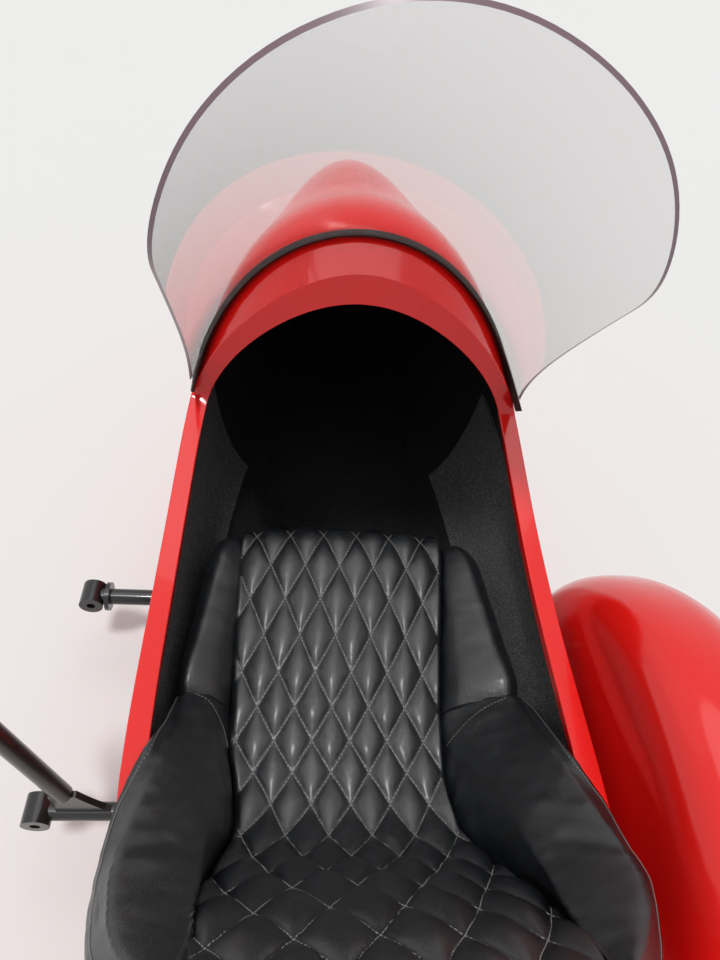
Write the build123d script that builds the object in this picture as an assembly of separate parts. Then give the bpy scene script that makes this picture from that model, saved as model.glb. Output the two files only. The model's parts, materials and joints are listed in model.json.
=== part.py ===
"""Right-hand motorcycle sidecar: body, bucket seat, windscreen, tube chassis, sprung wheel and fender.

Millimetres. The build frame has X = 0 on the body's centre plane (+X to the wheel side),
Y = 0 at the wheel's axle (+Y to the nose) and Z = 0 on the road. Every piece is moved on
export so that the part's origin is the centre of the front lower mounting eye.
"""
from build123d import *
from functools import cache
from math import cos, radians, sin, sqrt
import os

# Chassis tubes and the eyes that bolt to the motorcycle
TUBE_R = 20.0
ARM_R = 15.0
REAR_ARM_R = 14.0
CHASSIS_Z = 170.0
RAIL_X = 150.0
RAIL_REAR_Y = -260.0
RAIL_FRONT_Y = 830.0
FRONT_ARM_Y = 486.0
REAR_ARM_Y = 92.0
EYE_X = -470.0
EYE_R = 22.0
EYE_LENGTH = 46.0
EYE_BORE_R = 8.0
STRUT_R = 14.0
STRUT_TOP_Z = 520.0
STRUT_EYE_R = 18.0
STRUT_EYE_LENGTH = 36.0
STRUT_BORE_R = 6.0
STRUT_FOOT_X = -400.0
STRUT_FOOT_INSET = 18.0
GUSSET_T = 10.0
GUSSET_RISE = 78.0
GUSSET_INNER_X = -345.0
GUSSET_EYE_GAP = 30.0
GUSSET_WAIST_X = 22.0
GUSSET_WAIST_DROP = 38.0
FLANGE_R = 27.0
FLANGE_T = 8.0
FLANGE_GAP = 4.0
CROSS_R = 16.0
AXLE_TUBE_R = 18.0
CROSS_INSET = 40.0

# Body mounts: blocks at the front, leaf springs on the rear cross tube
MOUNT_HALF = 22.0
MOUNT_REAR_Y = 700.0
MOUNT_FRONT_Y = 760.0
MOUNT_TOP_Z = 300.0
SPRING_X = 100.0
SPRING_HALF = 22.0
SPRING_FRONT_Y = -200.0
SPRING_MID_Y = -330.0
SPRING_REAR_Y = -450.0
SPRING_FRONT_Z = 187.0
SPRING_MID_Z = 191.0
SPRING_REAR_Z = 214.0
SPRING_T = 16.0
SPRING_TIP_T = 14.0
CLAMP_DEPTH = 40.0
CLAMP_LOW_RISE = 10.0
CLAMP_TOP_Z = 200.0
PAD_HALF = 20.0
PAD_LENGTH = 40.0
PAD_INSET = 2.0
PAD_RISE = 8.0

# Body sections from tail to nose: station, widest half width, flat half width of the
# bottom, bottom height, height of the widest point, crown height
BODY_SECTIONS = [
    (-655.0, 60.0, 25.0, 400.0, 440.0, 478.0),
    (-610.0, 125.0, 60.0, 335.0, 455.0, 560.0),
    (-500.0, 190.0, 105.0, 268.0, 475.0, 672.0),
    (-372.0, 228.0, 140.0, 235.0, 500.0, 742.0),
    (-150.0, 268.0, 170.0, 217.0, 515.0, 775.0),
    (150.0, 288.0, 190.0, 210.0, 520.0, 780.0),
    (450.0, 286.0, 185.0, 210.0, 530.0, 760.0),
    (688.0, 275.0, 165.0, 222.0, 555.0, 750.0),
    (790.0, 264.0, 153.0, 232.0, 560.0, 804.0),
    (1000.0, 214.0, 125.0, 255.0, 545.0, 776.0),
    (1200.0, 168.0, 88.0, 290.0, 515.0, 722.0),
    (1400.0, 118.0, 55.0, 350.0, 480.0, 650.0),
    (1500.0, 75.0, 30.0, 400.0, 465.0, 585.0),
    (1550.0, 35.0, 12.0, 435.0, 465.0, 510.0),
]
SHELL_T = 4.0
BELT_Z = 440.0
CARPET_T = 6.0
CARPET_LOW_Z = 262.0
CARPET_HIGH_Z = 500.0
CARPET_REAR_Y = 0.0
CARPET_FRONT_Y = 760.0
MAT_HALF = 150.0
MAT_REAR_Y = -200.0
MAT_FRONT_Y = 1150.0
TOUCH = 0.3

# Cockpit opening in the side view: rear apex, foot of the rear sweep, lowest point, foot
# of the front arch, front apex
RIM_REAR_Y = -372.0
RIM_REAR_Z = 742.0
SWEEP_Y = -318.0
SWEEP_Z = 655.0
DOOR_REAR_Y = 12.0
DOOR_REAR_Z = 559.0
DOOR_LOW_Y = 312.0
DOOR_LOW_Z = 525.0
DOOR_FRONT_Y = 612.0
DOOR_FRONT_Z = 582.0
RIM_FRONT_Y = 724.0
RIM_FRONT_Z = 772.0
RIM_CORNER_R = 60.0
RIM_DEPTH = 28.0
RIM_T = 14.0
RIM_FLARE = 60.0
ABOVE_ALL = 1000.0

# Reach of the blocks that cut the body, past its sides and ends
PAST_SIDE = 400.0
PAST_TAIL = -900.0
PAST_NOSE = 1800.0

# Windscreen: a bent sheet on a raked cylinder, with its foot on the cowl
SCREEN_R = 275.0
SCREEN_T = 5.0
SCREEN_RAKE = 46.4
SCREEN_FOOT_Y = 787.0
SCREEN_FOOT_Z = 806.0
SCREEN_TOP = 648.0
SCREEN_CUT_DEPTH = 200.0
# Half outline of the sheet seen along the cylinder's radius at its middle: half width,
# height up the sheet from its foot
SCREEN_OUTLINE = [
    (270.0, -20.0),
    (262.7, 130.0),
    (256.0, 293.0),
    (251.0, 415.0),
    (244.0, 493.0),
    (228.0, 545.0),
    (195.0, 594.0),
    (100.0, 636.0),
]
STRIP_T = 12.0
STRIP_LIP = 5.0
STRIP_TOP = 100.0
SCREEN_BACK_SHARE = 0.45

# Wheel, tyre and axle
WHEEL_X = 400.0
TYRE_R = 322.0
TYRE_HALF = 64.0
AXLE_Z = TYRE_R
TYRE_TREAD_HALF = 52.0
TYRE_SHOULDER = 22.0
RIM_SEAT_R = 203.0
RIM_FLANGE_R = 216.0
RIM_WELL_R = 190.0
RIM_HALF = 47.0
RIM_WALL = 4.0
RIM_LEDGE_HALF = 22.0
RIM_WELL_HALF = 14.0
RIM_BEND = 2.0
TYRE_BEAD_RISE = 2.0
HUB_NECK = 8.0
CAP_ROUND = 0.72
HUB_R = 30.0
HUB_FLANGE_R = 50.0
HUB_FLANGE_X = 34.0
HUB_FLANGE_T = 9.5
AXLE_R = 10.0
AXLE = Axis((0, 0, AXLE_Z), (1, 0, 0))
AXLE_GAP = 0.08
DRUM_R = 100.0
DRUM_T = 6.0
DRUM_DEPTH = 30.0
RUN_GAP = 5.0
PLATE_T = 8.0
SPOKE_R = 2.0
SPOKE_SIDES = 8
SPOKE_COUNT = 32
SPOKE_SWEEP = 58.0
SPOKE_LANE = 2.3
SPOKE_RIM_X = 7.0
CAP_R = 34.0
CAP_DEPTH = 26.0
CAP_FLAT_R = 6.0
BRACKET_T = 14.0
BRACKET_R = 30.0
BRACKET_FOOT_R = 34.0
PLATE_INSET = 4.0
BRACKET_SETBACK = 6.0
AXLE_END_GAP = 2.0
COLLAR_R = 18.0

# Fender
FENDER_HALF = 95.0
FENDER_CROWN_R = 385.0
FENDER_SIDE_R = 290.0
FENDER_EDGE_R = 268.0
FENDER_T = 3.0
FENDER_FRONT_ANGLE = -4.0
FENDER_REAR_ANGLE = 196.0
STAY_T = 6.0
STAY_HALF = 14.0
STAY_HUB_R = 26.0
STAY_SPACER_R = 22.0
STAY_ANGLES = (32.0, 148.0)
LAMP_R = 36.0
LAMP_T = 22.0
LAMP_SINK = 10.0
LENS_R = 32.0
LENS_T = 16.0
LAMP_ANGLE = 160.0

# Seat
CUSHION_FRONT_Y = 489.0
CREASE_Y = -18.0
CUSHION_FRONT_Z = 400.0
CREASE_Z = 320.0
CUSHION_T = 95.0
CUSHION_FRONT_HALF = 185.0
CREASE_HALF = 150.0
BACK_LEAN = 0.535
BACK_TOP_Z = 725.0
BACK_TOP_HALF = 200.0
BACK_T = 85.0
BOLSTER_RISE = 45.0
BOLSTER_HALF = 248.0
BOLSTER_FRONT_Y = 440.0
BOLSTER_REAR_Y = 130.0
WING_FORWARD = 150.0
WING_HALF = 262.0
WING_TOP_Z = 655.0
SEAT_GAP = 0.3
CUSHION_CORNER = 30.0
CUSHION_LIP = 20.0
UNDER_RISE = 8.0
BASE_INSET = 40.0
BASE_DROP = 6.0
BACK_CORNER_IN = 40.0
BACK_CORNER_DOWN = 60.0
BACK_FOOT = 40.0
ROLL_GAP = 22.0
ROLL_LENGTH = 90.0
ROLL_TOE = 20.0
ROLL_LIFT = 30.0
ROLL_FRONT_DROP = 5.0
ROLL_REAR_DROP = 10.0
ROLL_CREST = 60.0
WING_LIFT = 60.0
WING_WAIST_BACK = 40.0
WING_WAIST_Z = 560.0
WING_TOP_FRONT = 70.0
WING_TOP_REAR = 30.0
WING_TOP_RISE = 20.0
WALL_GAP = 1.0
BASE_HALF = 145.0

# Trunk lid in the tail deck
LID_FRONT_Y = -425.0
LID_REAR_Y = -590.0
LID_HALF = 105.0
LID_CORNER_R = 30.0
LID_GAP = 5.0
HINGE_X = 62.0
HINGE_RISE = 19.0
HINGE_PIN_R = 3.0
HINGE_PIN_GAP = 0.08
HINGE_KNUCKLE_R = 6.0
HINGE_WIDTH = 44.0
HINGE_LEAF = 30.0
HINGE_LEAF_DROP = 30.0
HINGE_LEAF_TOP = 2.0
KNUCKLE_GAP = 0.4
FITTING_GAP = 0.8
HANDLE_INSET = 30.0
HANDLE_STEM_R = 9.0
HANDLE_RISE = 24.0
HANDLE_HALF = 32.0
HANDLE_R = 7.0
BULKHEAD_T = 6.0


def section(station, half, flat, low, wide, top, grow):
    """Closed outline of the body at one station, grown outwards by grow."""
    half = half + grow
    low = low - grow
    top = top + grow
    flat = min(flat, half - 5)
    side = half - flat
    with BuildLine(Plane.XZ.offset(-station)) as outline:
        Line((-flat, low), (flat, low))
        EllipticalCenterArc((flat, wide), side, wide - low, 270, arc_size=90)
        EllipticalCenterArc((0, wide), half, top - wide, 0, arc_size=90)
        EllipticalCenterArc((0, wide), half, top - wide, 90, arc_size=90)
        EllipticalCenterArc((-flat, wide), side, wide - low, 180, arc_size=90)
    return make_face(outline.line.edges())


@cache
def body_form(grow=0.0):
    """Whole outer form of the body, grown by grow on every side (negative shrinks it)."""
    faces = []
    last = len(BODY_SECTIONS) - 1
    for index, (station, half, flat, low, wide, top) in enumerate(BODY_SECTIONS):
        if index == 0:
            station = station - grow
        if index == last:
            station = station + grow
        faces.append(section(station, half, flat, low, wide, top, grow))
    return loft(faces)


def opening_profile(grow=0.0):
    """Side view of everything removed above the cockpit's rim."""
    with BuildSketch(Plane.YZ) as profile:
        with BuildLine():
            Polyline(
                (RIM_FRONT_Y + RIM_FLARE, ABOVE_ALL),
                (RIM_FRONT_Y, RIM_FRONT_Z),
                (DOOR_FRONT_Y, DOOR_FRONT_Z),
            )
            ThreePointArc(
                (DOOR_FRONT_Y, DOOR_FRONT_Z), (DOOR_LOW_Y, DOOR_LOW_Z), (DOOR_REAR_Y, DOOR_REAR_Z)
            )
            Polyline(
                (DOOR_REAR_Y, DOOR_REAR_Z),
                (SWEEP_Y, SWEEP_Z),
                (RIM_REAR_Y, RIM_REAR_Z),
                (RIM_REAR_Y - RIM_FLARE, ABOVE_ALL),
                (RIM_FRONT_Y + RIM_FLARE, ABOVE_ALL),
            )
        make_face()
        corners = profile.vertices().filter_by_position(Axis.Z, DOOR_LOW_Z, SWEEP_Z + 1)
        rounded = [v for v in corners if v.Y > DOOR_FRONT_Y - 1 or v.Y < SWEEP_Y + 1]
        fillet(rounded, RIM_CORNER_R)
    shape = profile.sketch
    if grow:
        shape = offset(shape, amount=grow)
    return shape


@cache
def opening_cutter(grow=0.0):
    """Prism over the cockpit, seen from the side, across the whole body."""
    return extrude(opening_profile(grow), amount=PAST_SIDE, both=True)


def slab(x0, x1, y0, y1, z0, z1):
    """Box between two corners."""
    return Pos((x0 + x1) / 2, (y0 + y1) / 2, (z0 + z1) / 2) * Box(x1 - x0, y1 - y0, z1 - z0)


def bar(start, end, profile):
    """Straight bar of a given cross-section between two points."""
    a = Vector(*start)
    b = Vector(*end)
    return extrude(Plane(origin=a, z_dir=b - a) * profile, amount=(b - a).length)


def rod(start, end, radius):
    """Round bar between two points."""
    return bar(start, end, Circle(radius))


def along_x(y, z, x0, x1, radius):
    """Round bar along X."""
    return rod((x0, y, z), (x1, y, z), radius)


def along_y(x, z, y0, y1, radius):
    """Round bar along Y."""
    return rod((x, y0, z), (x, y1, z), radius)


def crown_height(x, y):
    """Height of the body's top surface, between two sections, for seating fittings."""
    for first, second in zip(BODY_SECTIONS, BODY_SECTIONS[1:]):
        if first[0] <= y <= second[0]:
            share = (y - first[0]) / (second[0] - first[0])
            half, wide, top = (first[i] + share * (second[i] - first[i]) for i in (1, 4, 5))
            return wide + (top - wide) * sqrt(1 - (x / half) ** 2)
    raise ValueError("station off the body")


def body_pieces():
    """Tub, upper body, coaming, trunk lid and bulkhead, cut from one outer form."""
    outer = body_form()
    inner = body_form(-SHELL_T)
    core = body_form(-RIM_DEPTH)
    cutter = opening_cutter()
    wide_cutter = opening_cutter(RIM_T)
    below = slab(-PAST_SIDE, PAST_SIDE, PAST_TAIL, PAST_NOSE, 0, BELT_Z)
    shell = outer - inner
    tub = shell & below
    upper = shell - below - wide_cutter
    coaming = (outer - core) & (wide_cutter - cutter)
    lid_plan = Pos(0, (LID_FRONT_Y + LID_REAR_Y) / 2, BELT_Z)
    lid_size = (2 * LID_HALF, LID_FRONT_Y - LID_REAR_Y)
    lid_block = extrude(lid_plan * RectangleRounded(*lid_size, LID_CORNER_R), amount=ABOVE_ALL)
    hole_block = extrude(
        lid_plan
        * RectangleRounded(
            lid_size[0] + 2 * LID_GAP, lid_size[1] + 2 * LID_GAP, LID_CORNER_R + LID_GAP
        ),
        amount=ABOVE_ALL,
    )
    lid = upper & lid_block
    upper = upper - hole_block
    lining = body_form(-SHELL_T - TOUCH)
    bulkhead_y = RIM_REAR_Y - 2 * RIM_T
    bulkhead = lining & slab(
        -PAST_SIDE, PAST_SIDE, bulkhead_y - BULKHEAD_T, bulkhead_y, 0, ABOVE_ALL
    )
    return {
        "tub": tub,
        "upper_body": upper,
        "coaming": coaming,
        "trunk_lid": lid,
        "bulkhead": bulkhead,
    }


def trim_pieces():
    """Floor mat and carpet on both side walls."""
    lining = body_form(-SHELL_T - TOUCH)
    inside = body_form(-SHELL_T - TOUCH - CARPET_T)
    layer = lining - inside
    mat = layer & slab(-MAT_HALF, MAT_HALF, MAT_REAR_Y, MAT_FRONT_Y, 0, BELT_Z)
    walls = layer & slab(
        -PAST_SIDE, PAST_SIDE, CARPET_REAR_Y, CARPET_FRONT_Y, CARPET_LOW_Z, CARPET_HIGH_Z
    )
    return {
        "floor_mat": mat,
        "carpet_left": walls & slab(-PAST_SIDE, -1, PAST_TAIL, PAST_NOSE, 0, ABOVE_ALL),
        "carpet_right": walls & slab(1, PAST_SIDE, PAST_TAIL, PAST_NOSE, 0, ABOVE_ALL),
    }


def screen_shell(inner_r, outer_r, low, high):
    """Stretch of a tube about the screen's own bend axis."""
    rake = radians(SCREEN_RAKE)
    up = Vector(0, -sin(rake), cos(rake))
    back = Vector(0, -cos(rake), -sin(rake))
    foot = Vector(0, SCREEN_FOOT_Y, SCREEN_FOOT_Z)
    base = Plane(origin=foot + back * SCREEN_R + up * low, z_dir=up)
    ring = base * (Circle(outer_r) - Circle(inner_r))
    tube = extrude(ring, amount=high - low)
    keep = extrude(
        Plane(origin=foot + back * (SCREEN_R * SCREEN_BACK_SHARE) + up * low, z_dir=up, x_dir=(1, 0, 0))
        * Rectangle(4 * SCREEN_R, 2 * SCREEN_R * (1 - SCREEN_BACK_SHARE)),
        amount=high - low,
    )
    return tube & keep


def screen_pieces():
    """Clear bent screen, and the strip that seals its foot to the cowl."""
    rake = radians(SCREEN_RAKE)
    back = Vector(0, -cos(rake), -sin(rake))
    up = Vector(0, -sin(rake), cos(rake))
    face = Plane(origin=(0, SCREEN_FOOT_Y, SCREEN_FOOT_Z), x_dir=(1, 0, 0), z_dir=back)
    flip = -1 if face.y_dir.dot(up) < 0 else 1
    right = [(half, flip * height) for half, height in SCREEN_OUTLINE]
    left = [(-half, height) for half, height in reversed(right)]
    low = -flip * SCREEN_CUT_DEPTH
    with BuildSketch(face) as outline:
        with BuildLine():
            Spline(*right, (0, flip * SCREEN_TOP), *left)
            Polyline(left[-1], (left[-1][0], low), (right[0][0], low), right[0])
        make_face()
    blank = extrude(outline.sketch, amount=PAST_SIDE, both=True)
    sheet = screen_shell(SCREEN_R - SCREEN_T, SCREEN_R, -SCREEN_CUT_DEPTH, SCREEN_TOP + STRIP_T)
    skins = (sheet & blank).faces().filter_by(GeomType.CYLINDER)
    outside = max(skins, key=lambda f: f.area)
    screen = largest(thicken(outside, amount=-SCREEN_T) - body_form(STRIP_T))
    wall = screen_shell(
        SCREEN_R - SCREEN_T - STRIP_LIP, SCREEN_R + STRIP_LIP, -SCREEN_CUT_DEPTH, STRIP_TOP
    )
    strip = (wall & blank & body_form(STRIP_T)) - body_form(TOUCH)
    strip = largest(strip)
    return {"windscreen": screen, "screen_strip": strip}


def largest(shape):
    """Biggest solid of a result."""
    return max(shape.solids(), key=lambda s: s.volume)


def seat_pieces():
    """Bucket seat: base, cushion, back, and the bolsters beside each."""
    room = body_form(-RIM_DEPTH - WALL_GAP) + opening_cutter(-WALL_GAP)
    on_mat = body_form(-SHELL_T - CARPET_T - 2 * TOUCH)

    def side_prism(points, x0, x1):
        """Side-view outline given as (Y, Z) points, between two X values."""
        with BuildSketch(Plane.YZ.offset(x0)) as outline:
            with BuildLine():
                Polyline(*points, close=True)
            make_face()
        return extrude(outline.sketch, amount=x1 - x0)

    slope = (CUSHION_FRONT_Z - CREASE_Z) / (CUSHION_FRONT_Y - CREASE_Y)
    under_front = CUSHION_FRONT_Z - CUSHION_T
    under_rear = CREASE_Z - CUSHION_T + UNDER_RISE
    plan = Plane.XY * make_face(
        Polyline(
            (-CREASE_HALF, CREASE_Y),
            (CREASE_HALF, CREASE_Y),
            (CUSHION_FRONT_HALF, CUSHION_FRONT_Y - CUSHION_CORNER),
            (CUSHION_FRONT_HALF - CUSHION_CORNER, CUSHION_FRONT_Y),
            (-CUSHION_FRONT_HALF + CUSHION_CORNER, CUSHION_FRONT_Y),
            (-CUSHION_FRONT_HALF, CUSHION_FRONT_Y - CUSHION_CORNER),
            close=True,
        )
    )
    cushion = extrude(plan, amount=ABOVE_ALL) & side_prism(
        [
            (CREASE_Y, under_rear),
            (CUSHION_FRONT_Y, under_front),
            (CUSHION_FRONT_Y, CUSHION_FRONT_Z - CUSHION_LIP),
            (CUSHION_FRONT_Y - CUSHION_CORNER, CUSHION_FRONT_Z),
            (CREASE_Y, CREASE_Z),
        ],
        -PAST_SIDE,
        PAST_SIDE,
    )
    cushion_zone = extrude(offset(plan, amount=SEAT_GAP), amount=CUSHION_FRONT_Z)
    base = side_prism(
        [
            (CREASE_Y, CHASSIS_Z),
            (CUSHION_FRONT_Y - BASE_INSET, CHASSIS_Z),
            (CUSHION_FRONT_Y - BASE_INSET, under_front - slope * BASE_INSET - TOUCH - BASE_DROP),
            (CREASE_Y, under_rear - TOUCH),
        ],
        -BASE_HALF,
        BASE_HALF,
    )
    base = base & on_mat
    back_top_y = CREASE_Y - (BACK_TOP_Z - CREASE_Z) * BACK_LEAN
    back_outline = [
        (CREASE_Y - SEAT_GAP, under_rear),
        (CREASE_Y - SEAT_GAP, CREASE_Z),
        (back_top_y, BACK_TOP_Z),
        (back_top_y - BACK_T, BACK_TOP_Z),
        (CREASE_Y - BACK_T - BACK_FOOT, under_rear),
    ]
    back_plan = Plane.XZ * make_face(
        Polyline(
            (-CREASE_HALF, 0),
            (CREASE_HALF, 0),
            (CREASE_HALF, CREASE_Z),
            (BACK_TOP_HALF, BACK_TOP_Z - BACK_CORNER_DOWN),
            (BACK_TOP_HALF - BACK_CORNER_IN, BACK_TOP_Z),
            (-BACK_TOP_HALF + BACK_CORNER_IN, BACK_TOP_Z),
            (-BACK_TOP_HALF, BACK_TOP_Z - BACK_CORNER_DOWN),
            (-CREASE_HALF, CREASE_Z),
            close=True,
        )
    )
    back = side_prism(back_outline, -PAST_SIDE, PAST_SIDE)
    back = back & extrude(back_plan, amount=ABOVE_ALL, both=True)
    pieces = {"seat_base": base, "seat_cushion": cushion, "seat_back": largest(back & room)}
    for name, sign in (("left", -1), ("right", 1)):
        lower_plan = Plane.XY * make_face(
            Polyline(
                (sign * (CREASE_HALF + ROLL_GAP), BOLSTER_REAR_Y),
                (sign * BOLSTER_HALF, BOLSTER_REAR_Y),
                (sign * BOLSTER_HALF, BOLSTER_REAR_Y + ROLL_LENGTH),
                (sign * (CUSHION_FRONT_HALF + ROLL_TOE), BOLSTER_FRONT_Y),
                (sign * (CUSHION_FRONT_HALF + SEAT_GAP), BOLSTER_FRONT_Y),
                close=True,
            )
        )
        lower = extrude(lower_plan, amount=ABOVE_ALL) & side_prism(
            [
                (BOLSTER_REAR_Y, under_rear + ROLL_LIFT),
                (BOLSTER_FRONT_Y, under_front),
                (BOLSTER_FRONT_Y, CUSHION_FRONT_Z - ROLL_FRONT_DROP),
                (BOLSTER_REAR_Y + ROLL_CREST, CUSHION_FRONT_Z + BOLSTER_RISE),
                (BOLSTER_REAR_Y, CUSHION_FRONT_Z + BOLSTER_RISE - ROLL_REAR_DROP),
            ],
            -PAST_SIDE,
            PAST_SIDE,
        )
        wing_plan = Plane.XZ * make_face(
            Polyline(
                (sign * (CREASE_HALF + SEAT_GAP), 0),
                (sign * WING_HALF, 0),
                (sign * WING_HALF, WING_TOP_Z),
                (sign * (BACK_TOP_HALF + SEAT_GAP), BACK_TOP_Z - BACK_CORNER_DOWN),
                (sign * (CREASE_HALF + SEAT_GAP), CREASE_Z),
                close=True,
            )
        )
        wing = side_prism(
            [
                (BOLSTER_REAR_Y - SEAT_GAP, under_rear + WING_LIFT),
                (BOLSTER_REAR_Y - SEAT_GAP, CUSHION_FRONT_Z + BOLSTER_RISE - ROLL_REAR_DROP),
                (CREASE_Y - WING_WAIST_BACK, WING_WAIST_Z),
                (back_top_y + WING_TOP_FRONT, WING_TOP_Z),
                (back_top_y - WING_TOP_REAR, WING_TOP_Z + WING_TOP_RISE),
                (CREASE_Y - BACK_T - BACK_FOOT, under_rear + WING_LIFT),
            ],
            -PAST_SIDE,
            PAST_SIDE,
        ) & extrude(wing_plan, amount=ABOVE_ALL, both=True)
        pieces["cushion_bolster_" + name] = largest(lower & room)
        pieces["back_bolster_" + name] = largest((wing & room) - cushion_zone)
    return pieces


def wheel_ring(points):
    """Turned piece of the wheel: (offset from the wheel's middle, radius) points."""
    with BuildSketch(Plane.XZ) as outline:
        with BuildLine():
            Polyline(*[(WHEEL_X + x, AXLE_Z + r) for x, r in points], close=True)
        make_face()
    return revolve(outline.sketch, axis=AXLE)


def wheel_pieces():
    """Tyre, rim, spokes, hub with its drum, and the cap, which all turn together."""
    bead = RIM_HALF - RIM_WALL - TOUCH
    with BuildSketch(Plane.XZ) as tyre_outline:
        with BuildLine():
            low = AXLE_Z + RIM_SEAT_R + TOUCH
            flange = AXLE_Z + RIM_FLANGE_R + TYRE_BEAD_RISE
            shoulder = AXLE_Z + TYRE_R - TYRE_SHOULDER
            top = AXLE_Z + TYRE_R
            Polyline((WHEEL_X - bead, flange), (WHEEL_X - bead, low), (WHEEL_X + bead, low),
                     (WHEEL_X + bead, flange))
            ThreePointArc(
                (WHEEL_X + bead, flange),
                (WHEEL_X + TYRE_HALF, (flange + shoulder) / 2),
                (WHEEL_X + TYRE_TREAD_HALF, shoulder),
            )
            ThreePointArc(
                (WHEEL_X + TYRE_TREAD_HALF, shoulder),
                (WHEEL_X, top),
                (WHEEL_X - TYRE_TREAD_HALF, shoulder),
            )
            ThreePointArc(
                (WHEEL_X - TYRE_TREAD_HALF, shoulder),
                (WHEEL_X - TYRE_HALF, (flange + shoulder) / 2),
                (WHEEL_X - bead, flange),
            )
        make_face()
    tyre = revolve(tyre_outline.sketch, axis=AXLE)
    rim = wheel_ring(
        [
            (-RIM_HALF, RIM_FLANGE_R),
            (-RIM_HALF, RIM_SEAT_R - RIM_WALL),
            (-RIM_LEDGE_HALF, RIM_SEAT_R - RIM_WALL),
            (-RIM_WELL_HALF, RIM_WELL_R - RIM_WALL),
            (RIM_WELL_HALF, RIM_WELL_R - RIM_WALL),
            (RIM_LEDGE_HALF, RIM_SEAT_R - RIM_WALL),
            (RIM_HALF, RIM_SEAT_R - RIM_WALL),
            (RIM_HALF, RIM_FLANGE_R),
            (RIM_HALF - RIM_WALL, RIM_FLANGE_R),
            (RIM_HALF - RIM_WALL, RIM_SEAT_R),
            (RIM_LEDGE_HALF + RIM_BEND, RIM_SEAT_R),
            (RIM_WELL_HALF + RIM_BEND, RIM_WELL_R),
            (-RIM_WELL_HALF - RIM_BEND, RIM_WELL_R),
            (-RIM_LEDGE_HALF - RIM_BEND, RIM_SEAT_R),
            (-RIM_HALF + RIM_WALL, RIM_SEAT_R),
            (-RIM_HALF + RIM_WALL, RIM_FLANGE_R),
        ]
    )
    drum_face = -HUB_FLANGE_X - HUB_FLANGE_T
    hub = wheel_ring(
        [
            (drum_face - DRUM_T, AXLE_R + AXLE_GAP),
            (HUB_FLANGE_X + HUB_FLANGE_T, AXLE_R + AXLE_GAP),
            (HUB_FLANGE_X + HUB_FLANGE_T, HUB_FLANGE_R),
            (HUB_FLANGE_X, HUB_FLANGE_R),
            (HUB_FLANGE_X - HUB_NECK, HUB_R),
            (-HUB_FLANGE_X + HUB_NECK, HUB_R),
            (-HUB_FLANGE_X, HUB_FLANGE_R),
            (drum_face, HUB_FLANGE_R),
            (drum_face, DRUM_R),
            (drum_face - DRUM_DEPTH, DRUM_R),
            (drum_face - DRUM_DEPTH, DRUM_R - DRUM_T),
            (drum_face - DRUM_T, DRUM_R - DRUM_T),
        ]
    )
    cap_foot = HUB_FLANGE_X + HUB_FLANGE_T
    with BuildSketch(Plane.XZ) as cap_outline:
        with BuildLine():
            x = WHEEL_X + cap_foot
            Polyline(
                (x + CAP_DEPTH, AXLE_Z + CAP_FLAT_R),
                (x + CAP_DEPTH, AXLE_Z),
                (x, AXLE_Z),
                (x, AXLE_Z + CAP_R),
            )
            ThreePointArc(
                (x, AXLE_Z + CAP_R),
                (x + CAP_DEPTH * CAP_ROUND, AXLE_Z + CAP_R * CAP_ROUND),
                (x + CAP_DEPTH, AXLE_Z + CAP_FLAT_R),
            )
        make_face()
    cap = revolve(cap_outline.sketch, axis=AXLE)
    spokes = []
    step = 360.0 / SPOKE_COUNT
    for index in range(SPOKE_COUNT):
        side = 1 if index % 2 else -1
        lean = 1 if (index // 2) % 2 else -1
        hub_angle = radians(index * step + lean * SPOKE_SWEEP)
        rim_angle = radians(index * step)
        lane = lean * SPOKE_LANE
        hub_r = HUB_FLANGE_R + SPOKE_R + TOUCH
        rim_r = RIM_WELL_R - RIM_WALL - SPOKE_R / 3 - TOUCH
        hub_x = WHEEL_X + side * (HUB_FLANGE_X + HUB_FLANGE_T / 2 + lane)
        rim_x = WHEEL_X + side * (SPOKE_RIM_X + lane)
        spokes.append(
            bar(
                (hub_x, hub_r * cos(hub_angle), AXLE_Z + hub_r * sin(hub_angle)),
                (rim_x, rim_r * cos(rim_angle), AXLE_Z + rim_r * sin(rim_angle)),
                RegularPolygon(SPOKE_R, SPOKE_SIDES),
            )
        )
    return {
        "tyre": tyre,
        "wheel_rim": rim,
        "hub": hub,
        "hub_cap": cap,
        "spokes": Compound(children=spokes),
    }


def axle_pieces():
    """Stub axle, its bracket on the rear cross tube, and the fixed brake plate."""
    drum_face = -HUB_FLANGE_X - HUB_FLANGE_T
    plate_x = WHEEL_X + drum_face - DRUM_DEPTH + PLATE_INSET
    bracket_x1 = plate_x - BRACKET_SETBACK
    bracket_x0 = bracket_x1 - BRACKET_T
    end = WHEEL_X + HUB_FLANGE_X + HUB_FLANGE_T - AXLE_END_GAP
    axle = along_x(0, AXLE_Z, bracket_x1, end, AXLE_R)
    collar = along_x(0, AXLE_Z, bracket_x1, plate_x, COLLAR_R)
    axle = axle + collar
    plate = along_x(0, AXLE_Z, plate_x, plate_x + PLATE_T, DRUM_R - DRUM_T - RUN_GAP)
    plate = plate - along_x(0, AXLE_Z, bracket_x1, WHEEL_X, AXLE_R + TOUCH)
    with BuildSketch(Plane.YZ.offset(bracket_x0)) as outline:
        with Locations((0, AXLE_Z)):
            Circle(BRACKET_R)
        with Locations((REAR_ARM_Y, CHASSIS_Z)):
            Circle(BRACKET_FOOT_R)
        make_hull()
    bracket = extrude(outline.sketch, amount=BRACKET_T)
    return {"stub_axle": axle, "brake_plate": plate, "axle_bracket": bracket}, bracket_x0


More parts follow.
